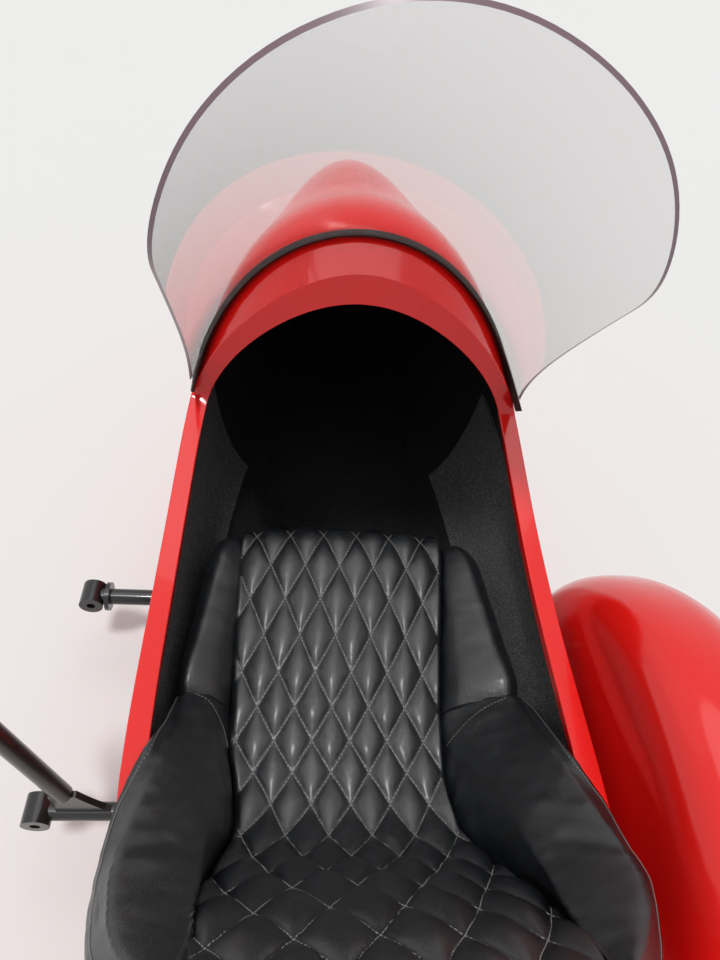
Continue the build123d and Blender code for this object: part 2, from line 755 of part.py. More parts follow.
def fender_pieces(bracket_x0):
    """Fender, its stays to the axle bracket, and the rear lamp."""
    x0 = WHEEL_X - FENDER_HALF
    x1 = WHEEL_X + FENDER_HALF

    with BuildSketch(Plane.XZ) as outline:
        with BuildLine():
            side = AXLE_Z + FENDER_SIDE_R
            edge = AXLE_Z + FENDER_EDGE_R
            EllipticalCenterArc(
                (WHEEL_X, side), FENDER_HALF, FENDER_CROWN_R - FENDER_SIDE_R, 0, arc_size=180
            )
            Polyline((x0, side), (x0, edge), (x0 + FENDER_T, edge), (x0 + FENDER_T, side))
            EllipticalCenterArc(
                (WHEEL_X, side),
                FENDER_HALF - FENDER_T,
                FENDER_CROWN_R - FENDER_SIDE_R - FENDER_T,
                0,
                arc_size=180,
            )
            Polyline((x1 - FENDER_T, side), (x1 - FENDER_T, edge), (x1, edge), (x1, side))
        make_face()
    sweep = FENDER_REAR_ANGLE - FENDER_FRONT_ANGLE
    fender = revolve(outline.sketch, axis=AXLE, revolution_arc=sweep)
    fender = fender.rotate(AXLE, FENDER_FRONT_ANGLE - 90)
    stay_x1 = x0
    stay_x0 = stay_x1 - STAY_T
    reach = (FENDER_EDGE_R + FENDER_SIDE_R) / 2
    with BuildSketch(Plane.YZ.offset(stay_x0)) as stays_outline:
        with Locations((0, AXLE_Z)):
            Circle(STAY_HUB_R)
        for angle in STAY_ANGLES:
            tip = (reach * cos(radians(angle)), AXLE_Z + reach * sin(radians(angle)))
            with BuildSketch(mode=Mode.PRIVATE) as leg:
                with Locations((0, AXLE_Z), tip):
                    Circle(STAY_HALF)
                make_hull()
            add(leg.sketch)
    stays = extrude(stays_outline.sketch, amount=STAY_T)
    stays = stays + along_x(0, AXLE_Z, stay_x1, bracket_x0, STAY_SPACER_R)
    lamp_dir = Vector(0, cos(radians(LAMP_ANGLE)), sin(radians(LAMP_ANGLE)))
    seat_r = FENDER_CROWN_R + TOUCH
    centre = Vector(WHEEL_X, 0, AXLE_Z) + lamp_dir * (seat_r - LAMP_SINK)
    depth = LAMP_T + LAMP_SINK
    housing = extrude(Plane(origin=centre, z_dir=lamp_dir) * Circle(LAMP_R), amount=depth)
    crown = along_x_crown()
    housing = housing - crown
    lens = extrude(
        Plane(origin=centre + lamp_dir * depth, z_dir=lamp_dir) * Circle(LENS_R), amount=LENS_T
    )
    return {"fender": fender, "fender_stays": stays, "tail_lamp": housing, "tail_lamp_lens": lens}


def along_x_crown():
    """Solid of revolution under the fender's outer skin, to cut fittings that sit on it."""
    with BuildSketch(Plane.XZ) as outline:
        with BuildLine():
            side = AXLE_Z + FENDER_SIDE_R
            EllipticalCenterArc(
                (WHEEL_X, side), FENDER_HALF, FENDER_CROWN_R - FENDER_SIDE_R, 0, arc_size=180
            )
            Polyline(
                (WHEEL_X - FENDER_HALF, side),
                (WHEEL_X - FENDER_HALF, AXLE_Z),
                (WHEEL_X + FENDER_HALF, AXLE_Z),
                (WHEEL_X + FENDER_HALF, side),
            )
        make_face()
    return revolve(outline.sketch, axis=AXLE)


def chassis_pieces(bracket_x0):
    """Rails, cross tubes, mounting arms with their eyes, strut, gusset and body mounts."""
    outer = body_form()
    rails = {}
    for name, x in (("left", -RAIL_X), ("right", RAIL_X)):
        rails["rail_" + name] = along_y(x, CHASSIS_Z, RAIL_REAR_Y, RAIL_FRONT_Y, TUBE_R)
    both = rails["rail_left"] + rails["rail_right"]

    def cross(y, x0, x1, radius):
        return along_x(y, CHASSIS_Z, x0, x1, radius) - both

    def eye(x, y, z, radius, length, bore):
        ring = along_y(x, z, y - length / 2, y + length / 2, radius)
        return ring - along_y(x, z, y - length, y + length, bore)

    pieces = dict(rails)
    crosses = [
        cross(y, -RAIL_X, RAIL_X, CROSS_R)
        for y in (RAIL_FRONT_Y - CROSS_INSET, FRONT_ARM_Y, RAIL_REAR_Y + CROSS_INSET)
    ]
    pieces["cross_tubes"] = Compound(children=crosses)
    pieces["axle_tube"] = largest(cross(REAR_ARM_Y, -RAIL_X, RAIL_X, AXLE_TUBE_R))
    pieces["axle_tube_outer"] = cross(REAR_ARM_Y, RAIL_X, bracket_x0, AXLE_TUBE_R)
    front_hole = along_y(EYE_X, CHASSIS_Z, PAST_TAIL, PAST_NOSE, EYE_BORE_R)
    front = cross(FRONT_ARM_Y, EYE_X, -RAIL_X, ARM_R)
    front = front + eye(EYE_X, FRONT_ARM_Y, CHASSIS_Z, EYE_R, EYE_LENGTH, EYE_BORE_R)
    flange_x = EYE_X + EYE_R + FLANGE_GAP
    front = front + along_x(FRONT_ARM_Y, CHASSIS_Z, flange_x, flange_x + FLANGE_T, FLANGE_R)
    pieces["front_arm"] = front - front_hole
    rear = cross(REAR_ARM_Y, EYE_X, -RAIL_X, REAR_ARM_R)
    rear = rear + eye(EYE_X, REAR_ARM_Y, CHASSIS_Z, EYE_R, EYE_LENGTH, EYE_BORE_R)
    rear = rear - front_hole
    pieces["rear_arm"] = rear
    with BuildSketch(Plane.XZ.offset(-REAR_ARM_Y - GUSSET_T / 2)) as plate:
        with BuildLine():
            Polyline(
                (GUSSET_INNER_X, CHASSIS_Z),
                (EYE_X + GUSSET_EYE_GAP, CHASSIS_Z),
                (EYE_X + GUSSET_EYE_GAP, CHASSIS_Z + GUSSET_RISE),
                (STRUT_FOOT_X, CHASSIS_Z + GUSSET_RISE),
            )
            ThreePointArc(
                (STRUT_FOOT_X, CHASSIS_Z + GUSSET_RISE),
                (STRUT_FOOT_X + GUSSET_WAIST_X, CHASSIS_Z + GUSSET_RISE - GUSSET_WAIST_DROP),
                (GUSSET_INNER_X, CHASSIS_Z),
            )
        make_face()
    gusset = extrude(plate.sketch, amount=GUSSET_T)
    gusset = gusset - along_x(REAR_ARM_Y, CHASSIS_Z, EYE_X, -RAIL_X, REAR_ARM_R)
    pieces["gusset"] = largest(gusset)
    foot = (STRUT_FOOT_X - STRUT_FOOT_INSET, REAR_ARM_Y, CHASSIS_Z + GUSSET_RISE)
    head = (EYE_X, REAR_ARM_Y, STRUT_TOP_Z)
    strut = rod(foot, head, STRUT_R)
    strut = strut + eye(EYE_X, REAR_ARM_Y, STRUT_TOP_Z, STRUT_EYE_R, STRUT_EYE_LENGTH, STRUT_BORE_R)
    strut = strut - along_y(EYE_X, STRUT_TOP_Z, PAST_TAIL, PAST_NOSE, STRUT_BORE_R)
    strut = strut - slab(-ABOVE_ALL, 0, PAST_TAIL, PAST_NOSE, 0, CHASSIS_Z + GUSSET_RISE)
    pieces["upper_strut"] = strut
    blocks = []
    for x in (-RAIL_X, RAIL_X):
        block = slab(
            x - MOUNT_HALF, x + MOUNT_HALF, MOUNT_REAR_Y, MOUNT_FRONT_Y, CHASSIS_Z, MOUNT_TOP_Z
        )
        block = block - outer - both
        blocks.append(largest(block))
    pieces["front_mounts"] = Compound(children=blocks)
    pads = []
    for name, x in (("left", -SPRING_X), ("right", SPRING_X)):
        with BuildSketch(Plane.YZ.offset(x - SPRING_HALF)) as leaf:
            with BuildLine():
                ThreePointArc(
                    (SPRING_FRONT_Y, SPRING_FRONT_Z + SPRING_T),
                    (SPRING_MID_Y, SPRING_MID_Z + SPRING_T),
                    (SPRING_REAR_Y, SPRING_REAR_Z + SPRING_TIP_T),
                )
                Line(
                    (SPRING_REAR_Y, SPRING_REAR_Z + SPRING_TIP_T), (SPRING_REAR_Y, SPRING_REAR_Z)
                )
                ThreePointArc(
                    (SPRING_REAR_Y, SPRING_REAR_Z),
                    (SPRING_MID_Y, SPRING_MID_Z),
                    (SPRING_FRONT_Y, SPRING_FRONT_Z),
                )
                Line(
                    (SPRING_FRONT_Y, SPRING_FRONT_Z), (SPRING_FRONT_Y, SPRING_FRONT_Z + SPRING_T)
                )
            make_face()
        spring = extrude(leaf.sketch, amount=2 * SPRING_HALF)
        pad_y = SPRING_REAR_Y + PAD_INSET
        pad = slab(
            x - PAD_HALF,
            x + PAD_HALF,
            pad_y,
            pad_y + PAD_LENGTH,
            SPRING_REAR_Z + PAD_RISE,
            MOUNT_TOP_Z + 2 * PAD_HALF,
        )
        pad = largest(pad - outer)
        clamp = slab(
            x - SPRING_HALF,
            x + SPRING_HALF,
            SPRING_FRONT_Y - CLAMP_DEPTH,
            SPRING_FRONT_Y,
            CHASSIS_Z + CLAMP_LOW_RISE,
            CLAMP_TOP_Z,
        )
        pieces["leaf_spring_" + name] = largest(spring + clamp - both - crosses[-1])
        pads.append(largest(pad - spring))
    pieces["spring_pads"] = Compound(children=pads)
    return pieces


def lid_fittings():
    """Hinge leaves on both sides of the trunk lid's front gap, and its handle."""
    outer = body_form(FITTING_GAP)
    axis_y = LID_FRONT_Y + LID_GAP / 2
    axis_z = crown_height(HINGE_X, axis_y) + HINGE_RISE
    third = HINGE_WIDTH / 3
    leaf_top = axis_z - HINGE_LEAF_TOP
    leaf_low = axis_z - HINGE_LEAF_DROP
    fixed = []
    moving = []
    for centre in (-HINGE_X, HINGE_X):
        half = HINGE_WIDTH / 2
        hinge = along_x(axis_y, axis_z, centre - half, centre + half, HINGE_PIN_R)
        for offset_x in (-third, third):
            x0 = centre + offset_x - third / 2 + KNUCKLE_GAP
            x1 = centre + offset_x + third / 2 - KNUCKLE_GAP
            knuckle = along_x(axis_y, axis_z, x0, x1, HINGE_KNUCKLE_R)
            leaf = slab(x0, x1, axis_y, axis_y + HINGE_LEAF, leaf_low, leaf_top)
            hinge = hinge + ((knuckle + leaf) - outer)
        fixed.append(hinge)
        x0 = centre - third / 2 + KNUCKLE_GAP
        x1 = centre + third / 2 - KNUCKLE_GAP
        knuckle = along_x(axis_y, axis_z, x0, x1, HINGE_KNUCKLE_R)
        leaf = slab(x0, x1, axis_y - HINGE_LEAF, axis_y, leaf_low, leaf_top)
        pin_hole = along_x(axis_y, axis_z, x0, x1, HINGE_PIN_R + HINGE_PIN_GAP)
        moving.append(knuckle + (leaf - outer) - pin_hole)
    handle_y = LID_REAR_Y + HANDLE_INSET
    handle_z = crown_height(0, handle_y)
    stem = rod(
        (0, handle_y, handle_z - HANDLE_RISE), (0, handle_y, handle_z + HANDLE_RISE), HANDLE_STEM_R
    )
    grip = along_x(handle_y, handle_z + HANDLE_RISE, -HANDLE_HALF, HANDLE_HALF, HANDLE_R)
    handle = largest((stem + grip) - outer)
    return {
        "hinge_fixed": Compound(children=fixed),
        "hinge_moving": Compound(children=moving),
        "lid_handle": handle,
    }, (axis_y, axis_z)


def main():
    """Build every piece, move it to the part's own frame and write it."""
    axle, bracket_x0 = axle_pieces()
    fittings, hinge = lid_fittings()
    pieces = {}
    for group in (
        body_pieces(),
        trim_pieces(),
        screen_pieces(),
        seat_pieces(),
        wheel_pieces(),
        axle,
        fender_pieces(bracket_x0),
        chassis_pieces(bracket_x0),
        fittings,
    ):
        pieces.update(group)
    origin = Vector(EYE_X, FRONT_ARM_Y, CHASSIS_Z)
    os.makedirs("parts", exist_ok=True)
    for name, shape in pieces.items():
        moved = Location(-origin) * shape
        export_step(moved, os.path.join("parts", name + ".step"))
    print("pieces", len(pieces))
    print("origin in the build frame", origin)
    print("trunk lid hinge line at Y, Z", hinge)


main()
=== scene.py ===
"""Looks of a right-hand motorcycle sidecar: body, screen, quilted seat, chassis and wheel.

Metres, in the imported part's own frame: +X to the wheel side, +Y to the nose, +Z up.
Sizes are measured from the body's centre plane (X), the wheel's axle (Y) and the road (Z),
and spot() turns such a place into one of the part's frame.
"""
import json
import logging
import math
from collections.abc import Callable, Iterator
from contextlib import contextmanager
from dataclasses import dataclass, field
from enum import Enum
from functools import cached_property

import bmesh
import bpy
import numpy as np
from mathutils import Matrix, Vector, noise
from mathutils.bvhtree import BVHTree

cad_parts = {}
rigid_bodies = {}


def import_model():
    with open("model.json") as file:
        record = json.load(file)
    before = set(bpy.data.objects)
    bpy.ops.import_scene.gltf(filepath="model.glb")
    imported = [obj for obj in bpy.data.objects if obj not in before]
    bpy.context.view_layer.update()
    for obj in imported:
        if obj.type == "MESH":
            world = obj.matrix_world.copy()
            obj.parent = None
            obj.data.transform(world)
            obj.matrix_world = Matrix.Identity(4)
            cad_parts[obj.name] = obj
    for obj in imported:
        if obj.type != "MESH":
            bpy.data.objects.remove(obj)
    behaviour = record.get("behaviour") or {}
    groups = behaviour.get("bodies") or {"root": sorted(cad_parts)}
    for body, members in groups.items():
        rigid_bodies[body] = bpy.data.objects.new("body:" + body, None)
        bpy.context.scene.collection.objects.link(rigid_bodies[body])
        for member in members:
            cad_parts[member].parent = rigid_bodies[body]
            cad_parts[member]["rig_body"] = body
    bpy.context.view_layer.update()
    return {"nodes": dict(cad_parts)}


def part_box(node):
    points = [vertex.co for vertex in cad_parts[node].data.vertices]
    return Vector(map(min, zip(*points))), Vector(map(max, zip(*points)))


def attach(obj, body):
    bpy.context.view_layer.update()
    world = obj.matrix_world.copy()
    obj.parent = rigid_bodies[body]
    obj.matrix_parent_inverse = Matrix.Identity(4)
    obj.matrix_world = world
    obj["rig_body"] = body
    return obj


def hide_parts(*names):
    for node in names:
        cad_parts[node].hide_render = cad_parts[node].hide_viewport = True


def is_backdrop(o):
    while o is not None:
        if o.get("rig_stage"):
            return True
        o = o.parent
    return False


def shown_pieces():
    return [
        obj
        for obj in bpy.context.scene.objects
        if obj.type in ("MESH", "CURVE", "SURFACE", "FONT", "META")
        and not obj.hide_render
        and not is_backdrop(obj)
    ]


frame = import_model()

LOG = logging.getLogger("sidecar")

BODY_X = sum(corner.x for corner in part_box("tub")) / 2
AXLE_Y = sum(corner.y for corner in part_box("tyre")) / 2
ROAD_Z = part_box("tyre")[0].z
AXLE_Z = sum(corner.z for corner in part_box("tyre")) / 2
WHEEL_X = sum(corner.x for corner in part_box("tyre")) / 2
HUB = Vector((WHEEL_X, AXLE_Y, AXLE_Z))
ZERO = np.array([BODY_X, AXLE_Y, ROAD_Z])

Piece = bpy.types.Object
Socket = bpy.types.NodeSocket
Colour = tuple[float, float, float]


def spot(x: float, y: float, z: float) -> Vector:
    """Place in the part's frame, from metres off the centre plane, the axle and the road."""
    return Vector((BODY_X + x, AXLE_Y + y, ROAD_Z + z))


def probe(node: str, start: Vector, way: Vector) -> tuple:
    """First place where a ray meets a solid.

    Args:
        node: the solid's name.
        start: start of the ray, in the part's frame.
        way: its direction.

    Returns:
        The place and the surface's normal there, or None twice.
    """
    mesh = frame["nodes"][node].data
    corners = [vertex.co for vertex in mesh.vertices]
    tree = BVHTree.FromPolygons(corners, [tuple(face.vertices) for face in mesh.polygons])
    where, normal, _, _ = tree.ray_cast(start, way)
    return where, normal


class Side(Enum):
    """The two sides of the seat."""

    LEFT = -1
    RIGHT = 1


class Slot(Enum):
    """Material slots of the record."""

    PAINT = "red_paint"
    ACRYLIC = "clear_acrylic"
    VINYL = "black_vinyl"
    CHROME = "chrome"
    TYRE = "tyre_rubber"


class Wire:
    """A shader socket that takes part in sums."""

    def __init__(self, tree: bpy.types.NodeTree, socket: Socket) -> None:
        """Wrap one output socket of a tree."""
        self.tree = tree
        self.socket = socket

    def math(self, operation: str, first: "Wire | float", second: "Wire | float") -> "Wire":
        """One Math node.

        Args:
            operation: the node's operation.
            first: upper input.
            second: lower input.

        Returns:
            The node's output.
        """
        node = self.tree.nodes.new("ShaderNodeMath")
        node.operation = operation
        for place, value in enumerate((first, second)):
            if isinstance(value, Wire):
                self.tree.links.new(value.socket, node.inputs[place])
            else:
                node.inputs[place].default_value = value
        return Wire(self.tree, node.outputs[0])

    def __add__(self, other: "Wire | float") -> "Wire":
        """Sum."""
        return self.math("ADD", self, other)

    __radd__ = __add__

    def __sub__(self, other: "Wire | float") -> "Wire":
        """Difference."""
        return self.math("SUBTRACT", self, other)

    def __rsub__(self, other: "Wire | float") -> "Wire":
        """Difference, the other way round."""
        return self.math("SUBTRACT", other, self)

    def __mul__(self, other: "Wire | float") -> "Wire":
        """Product."""
        return self.math("MULTIPLY", self, other)

    __rmul__ = __mul__

    def fade(self, low: float, high: float) -> "Wire":
        """Smooth rise from 0 to 1.

        Args:
            low: value that gives 0.
            high: value that gives 1.

        Returns:
            The rise.
        """
        node = self.tree.nodes.new("ShaderNodeMapRange")
        node.interpolation_type = "SMOOTHSTEP"
        self.tree.links.new(self.socket, node.inputs["Value"])
        node.inputs["From Min"].default_value = low
        node.inputs["From Max"].default_value = high
        return Wire(self.tree, node.outputs["Result"])


class Board:
    """Node tree of one material or world, with one method that adds any node."""

    def __init__(self, owner: bpy.types.Material | bpy.types.World) -> None:
        """Start an empty tree.

        Args:
            owner: what the tree belongs to.
        """
        owner.use_nodes = True
        self.owner = owner
        self.tree = owner.node_tree
        self.tree.nodes.clear()

    @cached_property
    def place(self) -> Socket:
        """Object coordinates."""
        return self.add("ShaderNodeTexCoord").outputs["Object"]

    def add(
        self, kind: str, settings: dict | None = None, sockets: dict | None = None
    ) -> bpy.types.Node:
        """Add a node.

        Args:
            kind: the node's type.
            settings: its properties.
            sockets: value, wire or output socket of each input, by name or number.

        Returns:
            The node.
        """
        node = self.tree.nodes.new(kind)
        for key, value in (settings or {}).items():
            setattr(node, key, value)
        for key, value in (sockets or {}).items():
            self.feed(node.inputs[key], value)
        return node

    def feed(self, socket: Socket, value: object) -> None:
        """Give an input its value, or link it.

        Args:
            socket: the input.
            value: number, colour, wire or output socket.
        """
        if isinstance(value, Wire):
            self.tree.links.new(value.socket, socket)
        elif isinstance(value, Socket):
            self.tree.links.new(value, socket)
        elif isinstance(value, tuple) and socket.type == "RGBA":
            socket.default_value = (*value, 1.0)
        else:
            socket.default_value = value

    def wire(self, socket: Socket) -> Wire:
        """Wrap an output for sums."""
        return Wire(self.tree, socket)

    def grain(self, scale: float, detail: float = 4.0, rough: float = 0.5) -> Wire:
        """Noise, from 0 to 1.

        Args:
            scale: lumps to the metre.
            detail: octaves.
            rough: share of each finer octave.

        Returns:
            The noise.
        """
        sockets = {"Vector": self.place, "Scale": scale, "Detail": detail, "Roughness": rough}
        return self.wire(self.add("ShaderNodeTexNoise", None, sockets).outputs["Fac"])

    def cells(self, scale: float, at: Socket) -> Wire:
        """Distance to the edge of small cells.

        Args:
            scale: cells to the metre.
            at: coordinates.

        Returns:
            The distance.
        """
        sockets = {"Vector": at, "Scale": scale}
        node = self.add("ShaderNodeTexVoronoi", {"feature": "DISTANCE_TO_EDGE"}, sockets)
        return self.wire(node.outputs["Distance"])

    def mix(self, share: object, first: object, second: object) -> Socket:
        """Mix of two colours, the share being of the second."""
        sockets = {0: share, 6: first, 7: second}
        return self.add("ShaderNodeMix", {"data_type": "RGBA"}, sockets).outputs[2]

    def bump(self, height: Wire, depth: float, strength: float = 1.0) -> Socket:
        """Normal of a surface with a height pattern, depth metres deep."""
        sockets = {"Height": height, "Distance": depth, "Strength": strength}
        return self.add("ShaderNodeBump", None, sockets).outputs["Normal"]

    def skin(self, sockets: dict) -> None:
        """Close the tree with a Principled shader that has these inputs."""
        shader = self.add("ShaderNodeBsdfPrincipled", None, sockets)
        self.add("ShaderNodeOutputMaterial", None, {"Surface": shader.outputs["BSDF"]})


@dataclass(frozen=True)
class Finish:
    """A material's name. Each kind of finish gives the inputs of its shader."""

    name: str

    def sockets(self, board: Board) -> dict:
        """Inputs of the shader, by name."""
        raise NotImplementedError

    def make(self) -> bpy.types.Material:
        """Build the material.

        Returns:
            The material.
        """
        board = Board(bpy.data.materials.new(self.name))
        board.skin(self.sockets(board))
        return board.owner


@dataclass(frozen=True)
class Enamel(Finish):
    """Gloss paint under a clear coat, with faint dust and orange peel."""

    colour: Colour
    dust: Colour
    roughness: float = 0.16
    dusting: float = 0.05
    peel_deep: float = 0.00006

    def sockets(self, board: Board) -> dict:
        """Inputs of the paint's shader.

        Args:
            board: the material's tree.

        Returns:
            The inputs by name.
        """
        cloud = board.grain(scale=2.2, detail=5.0, rough=0.6)
        speck = board.grain(scale=900.0, detail=2.0).fade(0.70, 0.80)
        film = cloud.fade(0.35, 0.85) * self.dusting
        peel = board.grain(scale=260.0, detail=2.0, rough=0.4)
        return {
            "Base Color": board.mix(film + speck * 0.05, self.colour, self.dust),
            "Roughness": film * 0.6 + self.roughness,
            "Normal": board.bump(peel, self.peel_deep),
            "IOR": 1.5,
            "Specular IOR Level": 0.36,
            "Coat Weight": 0.35,
            "Coat Roughness": 0.02,
        }


@dataclass(frozen=True)
class Vinyl(Finish):
    """Grained vinyl, softly shiny on the raised grain."""

    # the faint blue of both colours is a painted reflection of a blue sky
    colour: Colour = (0.0042, 0.0054, 0.0070)
    worn: Colour = (0.011, 0.0135, 0.0165)
    cells: float = 620.0
    drift: float = 0.0035
    deep: float = 0.00036

    def sockets(self, board: Board) -> dict:
        """Inputs of the vinyl's shader.

        Args:
            board: the material's tree.

        Returns:
            The inputs by name.
        """
        drift = board.add("ShaderNodeTexNoise", None, {"Vector": board.place, "Scale": 160.0})
        shrink = {0: drift.outputs["Color"], "Scale": self.drift}
        small = board.add("ShaderNodeVectorMath", {"operation": "SCALE"}, shrink)
        shift = {0: board.place, 1: small.outputs[0]}
        warp = board.add("ShaderNodeVectorMath", {"operation": "ADD"}, shift)
        pebble = board.cells(self.cells, warp.outputs[0]).fade(0.0, 0.35)
        fold = board.grain(scale=38.0, detail=5.0, rough=0.55)
        fine = board.grain(scale=1500.0, detail=2.0)
        height = pebble * 0.7 + fine * 0.25 + fold * 1.6
        return {
            "Base Color": board.mix(fold.fade(0.42, 0.72) * 0.5, self.colour, self.worn),
            "Roughness": 0.25 + (1.0 - pebble) * 0.12 + fold * 0.06,
            "Normal": board.bump(height, self.deep, 0.85),
            "IOR": 1.5,
            "Specular IOR Level": 0.75,
            "Coat Weight": 0.3,
            "Coat Roughness": 0.24,
        }


@dataclass(frozen=True)
class Pile(Finish):
    """Short dark carpet with pale flecks."""

    colour: Colour = (0.012, 0.012, 0.013)
    fleck: Colour = (0.10, 0.098, 0.096)
    deep: float = 0.0022

    def sockets(self, board: Board) -> dict:
        """Inputs of the carpet's shader.

        Args:
            board: the material's tree.

        Returns:
            The inputs by name.
        """
        tuft = board.grain(scale=520.0, detail=3.0, rough=0.7)
        fleck = board.grain(scale=760.0, detail=1.0).fade(0.56, 0.70)
        return {
            "Base Color": board.mix(fleck * 0.75 + tuft * 0.12, self.colour, self.fleck),
            "Roughness": 0.97,
            "Specular IOR Level": 0.15,
            "Normal": board.bump(tuft + fleck * 0.5, self.deep),
        }


@dataclass(frozen=True)
class Metal(Finish):
    """Steel or alloy, polished or turned, with light smudges."""

    colour: Colour
    roughness: float
    smudge: float = 0.10
    dulling: float = 0.78
    deep: float = 0.00004

    def sockets(self, board: Board) -> dict:
        """Inputs of the metal's shader.

        Args:
            board: the material's tree.

        Returns:
            The inputs by name.
        """
        cloud = board.grain(scale=14.0, detail=5.0, rough=0.6)
        fine = board.grain(scale=700.0, detail=2.0)
        dull = tuple(part * self.dulling for part in self.colour)
        return {
            "Base Color": board.mix(cloud.fade(0.45, 0.8) * 0.5, self.colour, dull),
            "Metallic": 1.0,
            "Roughness": cloud * self.smudge + self.roughness,
            "Normal": board.bump(fine, self.deep),
        }


@dataclass(frozen=True)
class Matt(Finish):
    """Plain dark rubber, board or iron with a little bloom."""

    colour: Colour
    bloom: Colour
    roughness: float
    deep: float = 0.00025

    def sockets(self, board: Board) -> dict:
        """Inputs of the matt shader.

        Args:
            board: the material's tree.

        Returns:
            The inputs by name.
        """
        cloud = board.grain(scale=9.0, detail=6.0, rough=0.6)
        fine = board.grain(scale=240.0, detail=3.0, rough=0.6)
        share = cloud.fade(0.4, 0.8) * 0.6 + fine * 0.1
        return {
            "Base Color": board.mix(share, self.colour, self.bloom),
            "Roughness": cloud * 0.18 + self.roughness,
            "Normal": board.bump(fine, self.deep),
        }


@dataclass(frozen=True)
class Acrylic(Finish):
    """Clear sheet, or its cut edge, whose colour is a painted reflection of the body around it."""

    colour: Colour = (1.0, 0.985, 0.992)
    clear: float = 1.0
    roughness: float = 0.015

    def sockets(self, board: Board) -> dict:
        """Inputs of the sheet's shader.

        Args:
            board: the material's tree.

        Returns:
            The inputs by name.
        """
        haze = board.grain(scale=6.0, detail=5.0, rough=0.6)
        return {
            "Base Color": self.colour,
            "Transmission Weight": self.clear,
            "Roughness": haze.fade(0.5, 0.9) * 0.03 + self.roughness,
            "IOR": 1.49,
        }


@dataclass(frozen=True)
class Thread(Finish):
    """Pale grey sewing thread, twisted, with painted shade in the hollows of the twist."""

    colour: Colour = (0.34, 0.34, 0.325)
    hollow: float = 0.55

    def sockets(self, board: Board) -> dict:
        """Inputs of the thread's shader.

        Args:
            board: the material's tree.

        Returns:
            The inputs by name.
        """
        twist = board.grain(scale=2600.0, detail=1.0, rough=0.4)
        # painted shade: the thread darkens where the twist's height is low
        dark = tuple(part * self.hollow for part in self.colour)
        return {
            "Base Color": board.mix(twist, dark, self.colour),
            "Roughness": 0.75,
            "Normal": board.bump(twist, 0.0002),
        }


@dataclass(frozen=True)
class Ground(Finish):
    """Pale studio floor."""

    colour: Colour = (0.80, 0.80, 0.79)
    shade: float = 0.985

    def sockets(self, board: Board) -> dict:
        """Inputs of the floor's shader.

        Args:
            board: the material's tree.

        Returns:
            The inputs by name.
        """
        cloud = board.grain(scale=0.8, detail=3.0)
        dark = tuple(part * self.shade for part in self.colour)
        return {"Base Color": board.mix(cloud, self.colour, dark), "Roughness": 0.9}


RED = Enamel("red_enamel", (0.80, 0.0085, 0.0065), (0.74, 0.10, 0.085))
GLOSS_BLACK = Enamel("black_enamel", (0.010, 0.010, 0.011), (0.06, 0.06, 0.06), 0.22, 0.25)
LENS = Enamel("red_lens", (0.45, 0.006, 0.006), (0.5, 0.05, 0.05), 0.08, 0.05)
LINING = Matt("black_lining", (0.006, 0.006, 0.007), (0.016, 0.016, 0.017), 0.8)
SATIN_BLACK = Matt("satin_black", (0.012, 0.012, 0.013), (0.03, 0.03, 0.03), 0.42)
SEAL = Matt("seal_rubber", (0.008, 0.008, 0.009), (0.02, 0.02, 0.02), 0.5)
STRIP = Matt("strip_rubber", (0.030, 0.020, 0.018), (0.075, 0.050, 0.044), 0.6)
TYRE = Matt("tyre_rubber", (0.016, 0.016, 0.017), (0.05, 0.048, 0.045), 0.68)
IRON = Matt("brake_iron", (0.04, 0.04, 0.04), (0.09, 0.08, 0.07), 0.6)
BOARD = Matt("seat_board", (0.008, 0.008, 0.009), (0.02, 0.02, 0.02), 0.7)
CHROME = Metal("chrome", (0.82, 0.83, 0.85), 0.06)
BRIGHT = Metal("bright_steel", (0.56, 0.56, 0.58), 0.22)
ALLOY = Metal("hub_alloy", (0.62, 0.62, 0.63), 0.34)
SCREEN = Acrylic("clear_acrylic")
# mauve grey edge: painted reflection of the red body in the sheet's cut edge
SCREEN_EDGE_PAINTED_REFLECTION = Acrylic("acrylic_edge_painted_reflection", (0.24, 0.155, 0.19), 0.15, 0.30)
VINYL = Vinyl("black_vinyl")
# one carpet in two tones: the grey of the side panels is painted sunlight, the black of the floor
# mat and the body's inner faces is painted shade
SHADED_CARPET = Pile("black_carpet")
SUNLIT_CARPET = Pile("sunlit_grey_carpet", (0.055, 0.055, 0.057), (0.75, 0.74, 0.72))
STITCH = Thread("grey_thread")
FLOOR = Ground("pale_floor")

# nodes that keep their own mesh
NODE_FINISHES = {
    GLOSS_BLACK: (
        *("fender_stays", "rail_left", "rail_right", "cross_tubes", "axle_tube"),
        *("axle_tube_outer", "front_arm", "rear_arm", "gusset", "upper_strut", "axle_bracket"),
    ),
    SATIN_BLACK: ("leaf_spring_left", "leaf_spring_right"),
    SEAL: ("front_mounts", "spring_pads"),
    STRIP: ("screen_strip",),
    SHADED_CARPET: ("floor_mat",),
    SUNLIT_CARPET: ("carpet_left", "carpet_right"),
    LINING: ("bulkhead",),
    BOARD: ("seat_base",),
    CHROME: (
        *("wheel_rim", "spokes", "hub_cap", "tail_lamp"),
        *("lid_handle", "hinge_fixed", "hinge_moving"),
    ),
    ALLOY: ("hub",),
    BRIGHT: ("stub_axle",),
    IRON: ("brake_plate",),
    LENS: ("tail_lamp_lens",),
}


